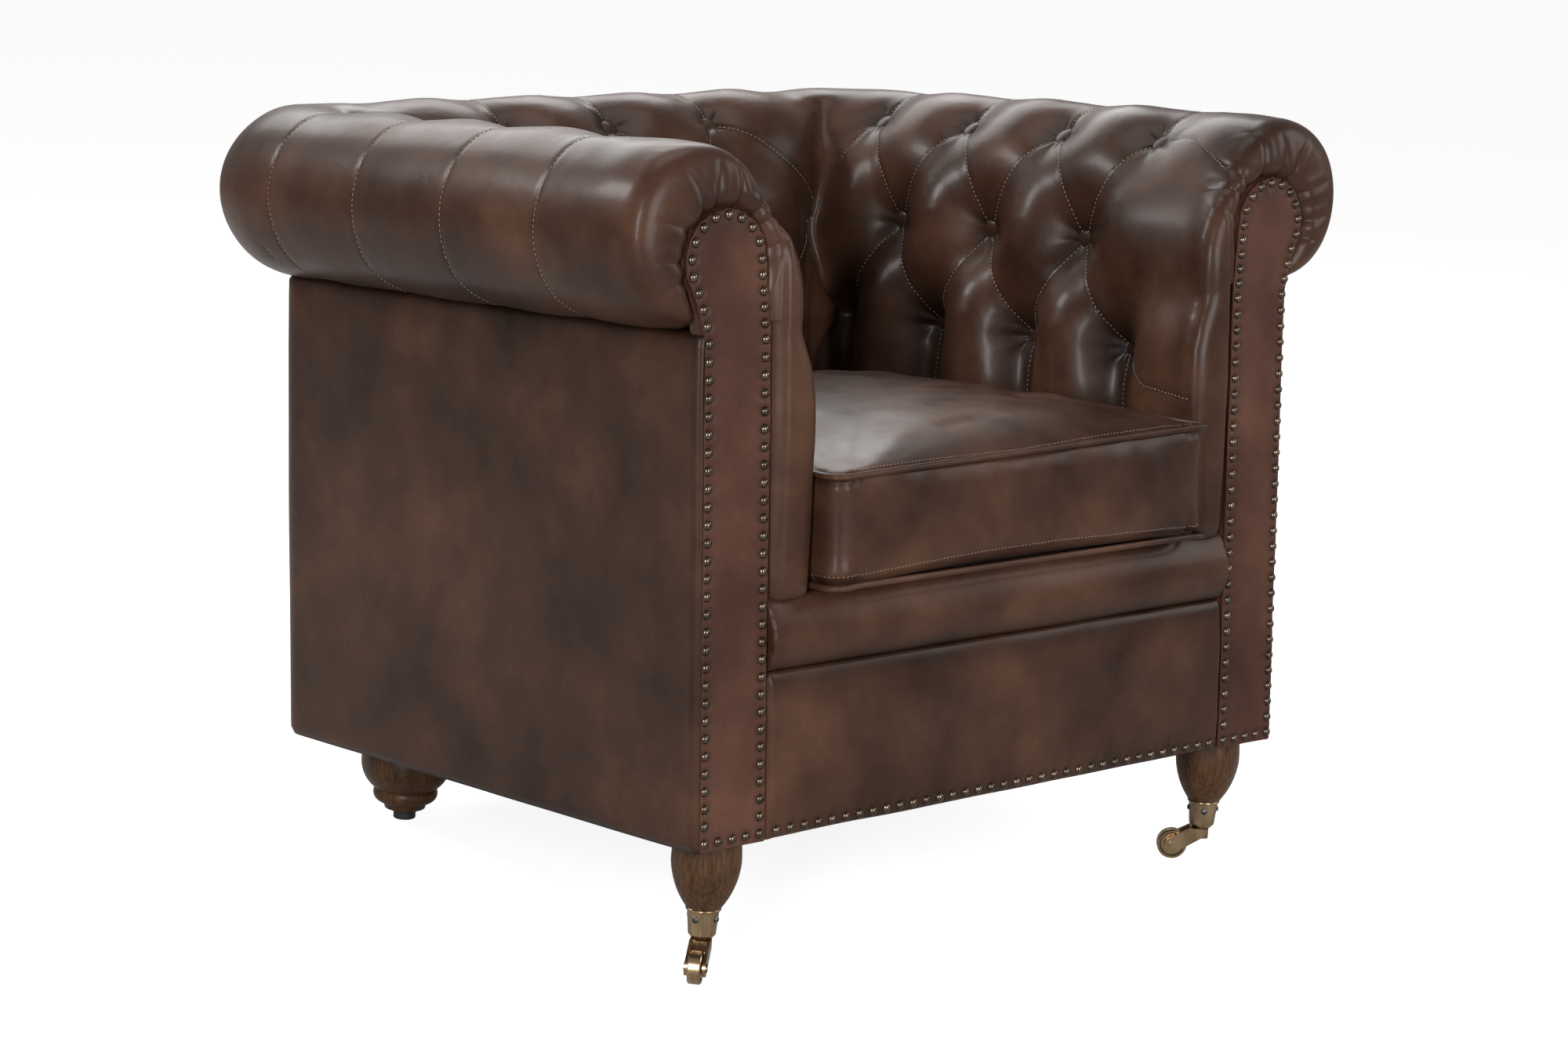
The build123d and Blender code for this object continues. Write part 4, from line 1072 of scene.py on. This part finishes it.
def welt_line(tree, outset, height):
    """A line of stitching that runs beside the welt, laid onto the cushion."""
    half, front, rear = cushion_half + outset, -cushion_front_reach - outset, cushion_rear + outset
    radius = cushion_corner + outset
    corners = [(half - radius, front + radius, -90), (half - radius, rear - radius, 0),
               (radius - half, rear - radius, 90), (radius - half, front + radius, 180)]
    quarter_steps, spacing = 10, 3 * mm
    ring = []
    for x, y, start in corners:
        turns = [math.radians(start + step * 90 / quarter_steps) for step in range(quarter_steps + 1)]
        ring += [Vector((x + radius * math.cos(t), y + radius * math.sin(t), height)) for t in turns]
    dense = []
    for a, b in zip(ring, ring[1:] + ring[:1]):
        count = max(1, int((b - a).length / spacing))
        dense += [a.lerp(b, i / count) for i in range(count)]
    spots = cushion_settle(np.array(dense))
    return [tree.find_nearest(Vector(p))[:2] for p in spots]


# creases of the sat-on top: from, to, half width and height of each
top_folds = [((150 * mm, 60 * mm), (205 * mm, 190 * mm), 9 * mm, 3 * mm),
             ((120 * mm, 90 * mm), (180 * mm, 200 * mm), 12 * mm, -3 * mm),
             ((-60 * mm, 40 * mm), (40 * mm, 52 * mm), 10 * mm, -1.5 * mm)]


def fold_top(co, top):
    """Lays the creases into the points that the share top gives as the cushion's top."""
    for start, end, width, height in top_folds:
        a, b = np.array(start), np.array(end)
        length = np.linalg.norm(b - a)
        way = (b - a) / length
        offset = co[:, :2] - a
        along = np.clip(offset @ way, 0, length)
        off = np.linalg.norm(offset - along[:, None] * way, axis=1)
        fade = np.sin(np.pi * along / length) ** 0.7
        co[:, 2] += top * height * fade * np.exp(-(off / width) ** 2)


def cushion_cover():
    """Boxed cushion with its welts, filled from inside, its band and top creased."""
    welt_hold, foot_hold, groove, groove_gap, groove_width = 7 * mm, 4 * mm, 1.6 * mm, 4 * mm, 3 * mm
    band_crease, shade_gap, shade_width, far = 1.2 * mm, 3 * mm, 5 * mm, 60 * mm
    piece = remeshed("seat_cushion_cover", ["seat_cushion"], voxel=6 * mm, rounds=3)
    set_coordinates(piece.data, cushion_settle(coordinates(piece.data)))
    welt = from_bmesh("cushion_welt", merged("cushion_piping"))
    set_coordinates(welt.data, cushion_settle(coordinates(welt.data)))
    line = [Vector(p) for p in coordinates(welt.data)[::3]]
    co = coordinates(piece.data)
    held = np.zeros(len(co))
    held[(near(co, line, far) < welt_hold) | (co[:, 2] < cushion_low_z + foot_hold)] = 1
    inflate(piece, held, pressure=2.2, limit=5 * mm)
    relax(piece, 5)
    refined(piece)
    co, out = coordinates(piece.data), normals(piece.data)
    gap = near(co, line, far)
    co -= out * (groove * np.exp(-((gap - groove_gap) / groove_width) ** 2))[:, None]
    fold_top(co, out[:, 2] > 0.7)
    band = np.abs(out[:, 2]) < 0.5
    crease = np.array([noise.noise(Vector((x / 0.03, y / 0.03, z / 0.12))) for x, y, z in co])
    co += out * (band * band_crease * crease)[:, None]
    set_coordinates(piece.data, co)
    rumpled(piece, size=90 * mm, height=2.0 * mm, seed=11)
    # painted shade in the groove beside the welts
    store(piece, "painted_shade", np.exp(-((gap - shade_gap) / shade_width) ** 2) * 0.7)
    tree = tree_of(piece)
    lines = [welt_line(tree, outset=-7 * mm, height=cushion_high_z + 9 * mm),
             welt_line(tree, outset=3 * mm, height=cushion_low_z + 12 * mm)]
    thread = stitches("cushion_stitches", placed_paths(lines), pitch_length=4.4 * mm, length=2.8 * mm,
                      radius=0.3 * mm)
    dress(thread, "leather", "seat_cushion", "thread")
    for shown in (piece, welt):
        placed(shown)
        dress(shown, "leather", "seat_cushion")
    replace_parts(piece, "seat_cushion")
    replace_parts(welt, "cushion_piping")


cushion_cover()


# the camera stands where the photograph was taken from
camera_spot = Vector((-2475.9, -2464.1, 829.7)) * mm
camera_yaw, camera_pitch, camera_roll = 0.727, 0.163, -0.014
focal_pixels, picture_width, sensor_width = 4816, 2000, 36


def photo_camera():
    data = bpy.data.cameras.new("photo_camera")
    data.sensor_width = sensor_width
    data.lens = focal_pixels / picture_width * sensor_width
    camera = bpy.data.objects.new("photo_camera", data)
    bpy.context.scene.collection.objects.link(camera)
    right = Vector((math.cos(camera_yaw), -math.sin(camera_yaw), 0))
    level = math.cos(camera_pitch)
    ahead = Vector((math.sin(camera_yaw) * level, math.cos(camera_yaw) * level, -math.sin(camera_pitch)))
    down = ahead.cross(right)
    turn, tilt = math.cos(camera_roll), math.sin(camera_roll)
    axes = Matrix((turn * right + tilt * down, tilt * right - turn * down, -ahead)).transposed()
    camera.matrix_world = body_place @ Matrix.Translation(camera_spot) @ axes.to_4x4()
    bpy.context.scene.camera = camera


photo_camera()


# floor, backdrop and lights
def floor_white():
    """White paper that the camera sees as lit from within, so that it keeps a faint shadow."""
    paper, camera_glow, mirrored_glow = 0.42, 0.86, 0.1
    made, tree, shader = material("floor_white", Roughness=0.9, Specular_IOR_Level=0.1)
    shader.inputs["Base Color"].default_value = (*grey(paper), 1)
    shader.inputs["Emission Color"].default_value = (1, 1, 1, 1)
    path = node(tree, "ShaderNodeLightPath")
    glossy = maths(tree, "ADD", path.outputs["Is Glossy Ray"], path.outputs["Is Transmission Ray"])
    glow = maths(tree, "ADD", maths(tree, "MULTIPLY", path.outputs["Is Camera Ray"], camera_glow),
                 maths(tree, "MULTIPLY", glossy, mirrored_glow))
    tree.links.new(glow, shader.inputs["Emission Strength"])
    return made


def studio():
    """The floor, and a world that is white to the camera and dimmer as light."""
    floor_half, seen_strength, lit_strength, mirrored_strength = 20, 1.0, 0.2, 0.15
    scene = bpy.context.scene
    scene.view_settings.view_transform = "Standard"
    bm = bmesh.new()
    bmesh.ops.create_grid(bm, x_segments=1, y_segments=1, size=floor_half)
    floor = from_bmesh("floor", bm)
    floor.data.materials.append(floor_white())
    world = bpy.data.worlds.new("studio")
    scene.world = world
    world.use_nodes = True
    tree = world.node_tree
    tree.nodes.clear()
    path = node(tree, "ShaderNodeLightPath")
    seen = node(tree, "ShaderNodeBackground", {"Color": (1, 1, 1, 1), "Strength": seen_strength})
    glossy = maths(tree, "ADD", path.outputs["Is Glossy Ray"], path.outputs["Is Transmission Ray"])
    strength = maths(tree, "ADD", maths(tree, "MULTIPLY", glossy, mirrored_strength), lit_strength)
    lit = node(tree, "ShaderNodeBackground", {"Color": (1, 0.98, 0.96, 1), "Strength": strength})
    joined = node(tree, "ShaderNodeMixShader")
    tree.links.new(path.outputs["Is Camera Ray"], joined.inputs[0])
    tree.links.new(lit.outputs[0], joined.inputs[1])
    tree.links.new(seen.outputs[0], joined.inputs[2])
    output = node(tree, "ShaderNodeOutputWorld")
    tree.links.new(joined.outputs[0], output.inputs["Surface"])


def softbox(name, place, target_z, size, power):
    """A rectangular light that looks at a height on the chair's own axis, hidden from the camera."""
    data = bpy.data.lights.new(name, "AREA")
    data.shape = "RECTANGLE"
    data.size, data.size_y = size
    data.energy = power
    lamp = bpy.data.objects.new(name, data)
    bpy.context.scene.collection.objects.link(lamp)
    lamp.location = place
    lamp.visible_camera = False
    lamp.rotation_euler = (Vector((0, 0, target_z)) - Vector(place)).to_track_quat("-Z", "Y").to_euler()


studio()
softbox("key", place=(-2.1, 1.9, 2.3), target_z=0.5, size=(0.8, 0.8), power=56)
softbox("strip", place=(-2.9, -2.1, 1.3), target_z=0.5, size=(0.3, 1.6), power=74)
softbox("front_fill", place=(-0.3, -3.2, 1.3), target_z=0.4, size=(1.2, 1.6), power=64)
softbox("right_side", place=(2.2, -1.6, 1.6), target_z=0.5, size=(1.0, 1.6), power=20)
softbox("backdrop", place=(0.9, 2.3, 2.2), target_z=0.4, size=(2.8, 1.2), power=56)
softbox("top", place=(0.1, 0.2, 3.0), target_z=0.5, size=(1.6, 1.2), power=17)
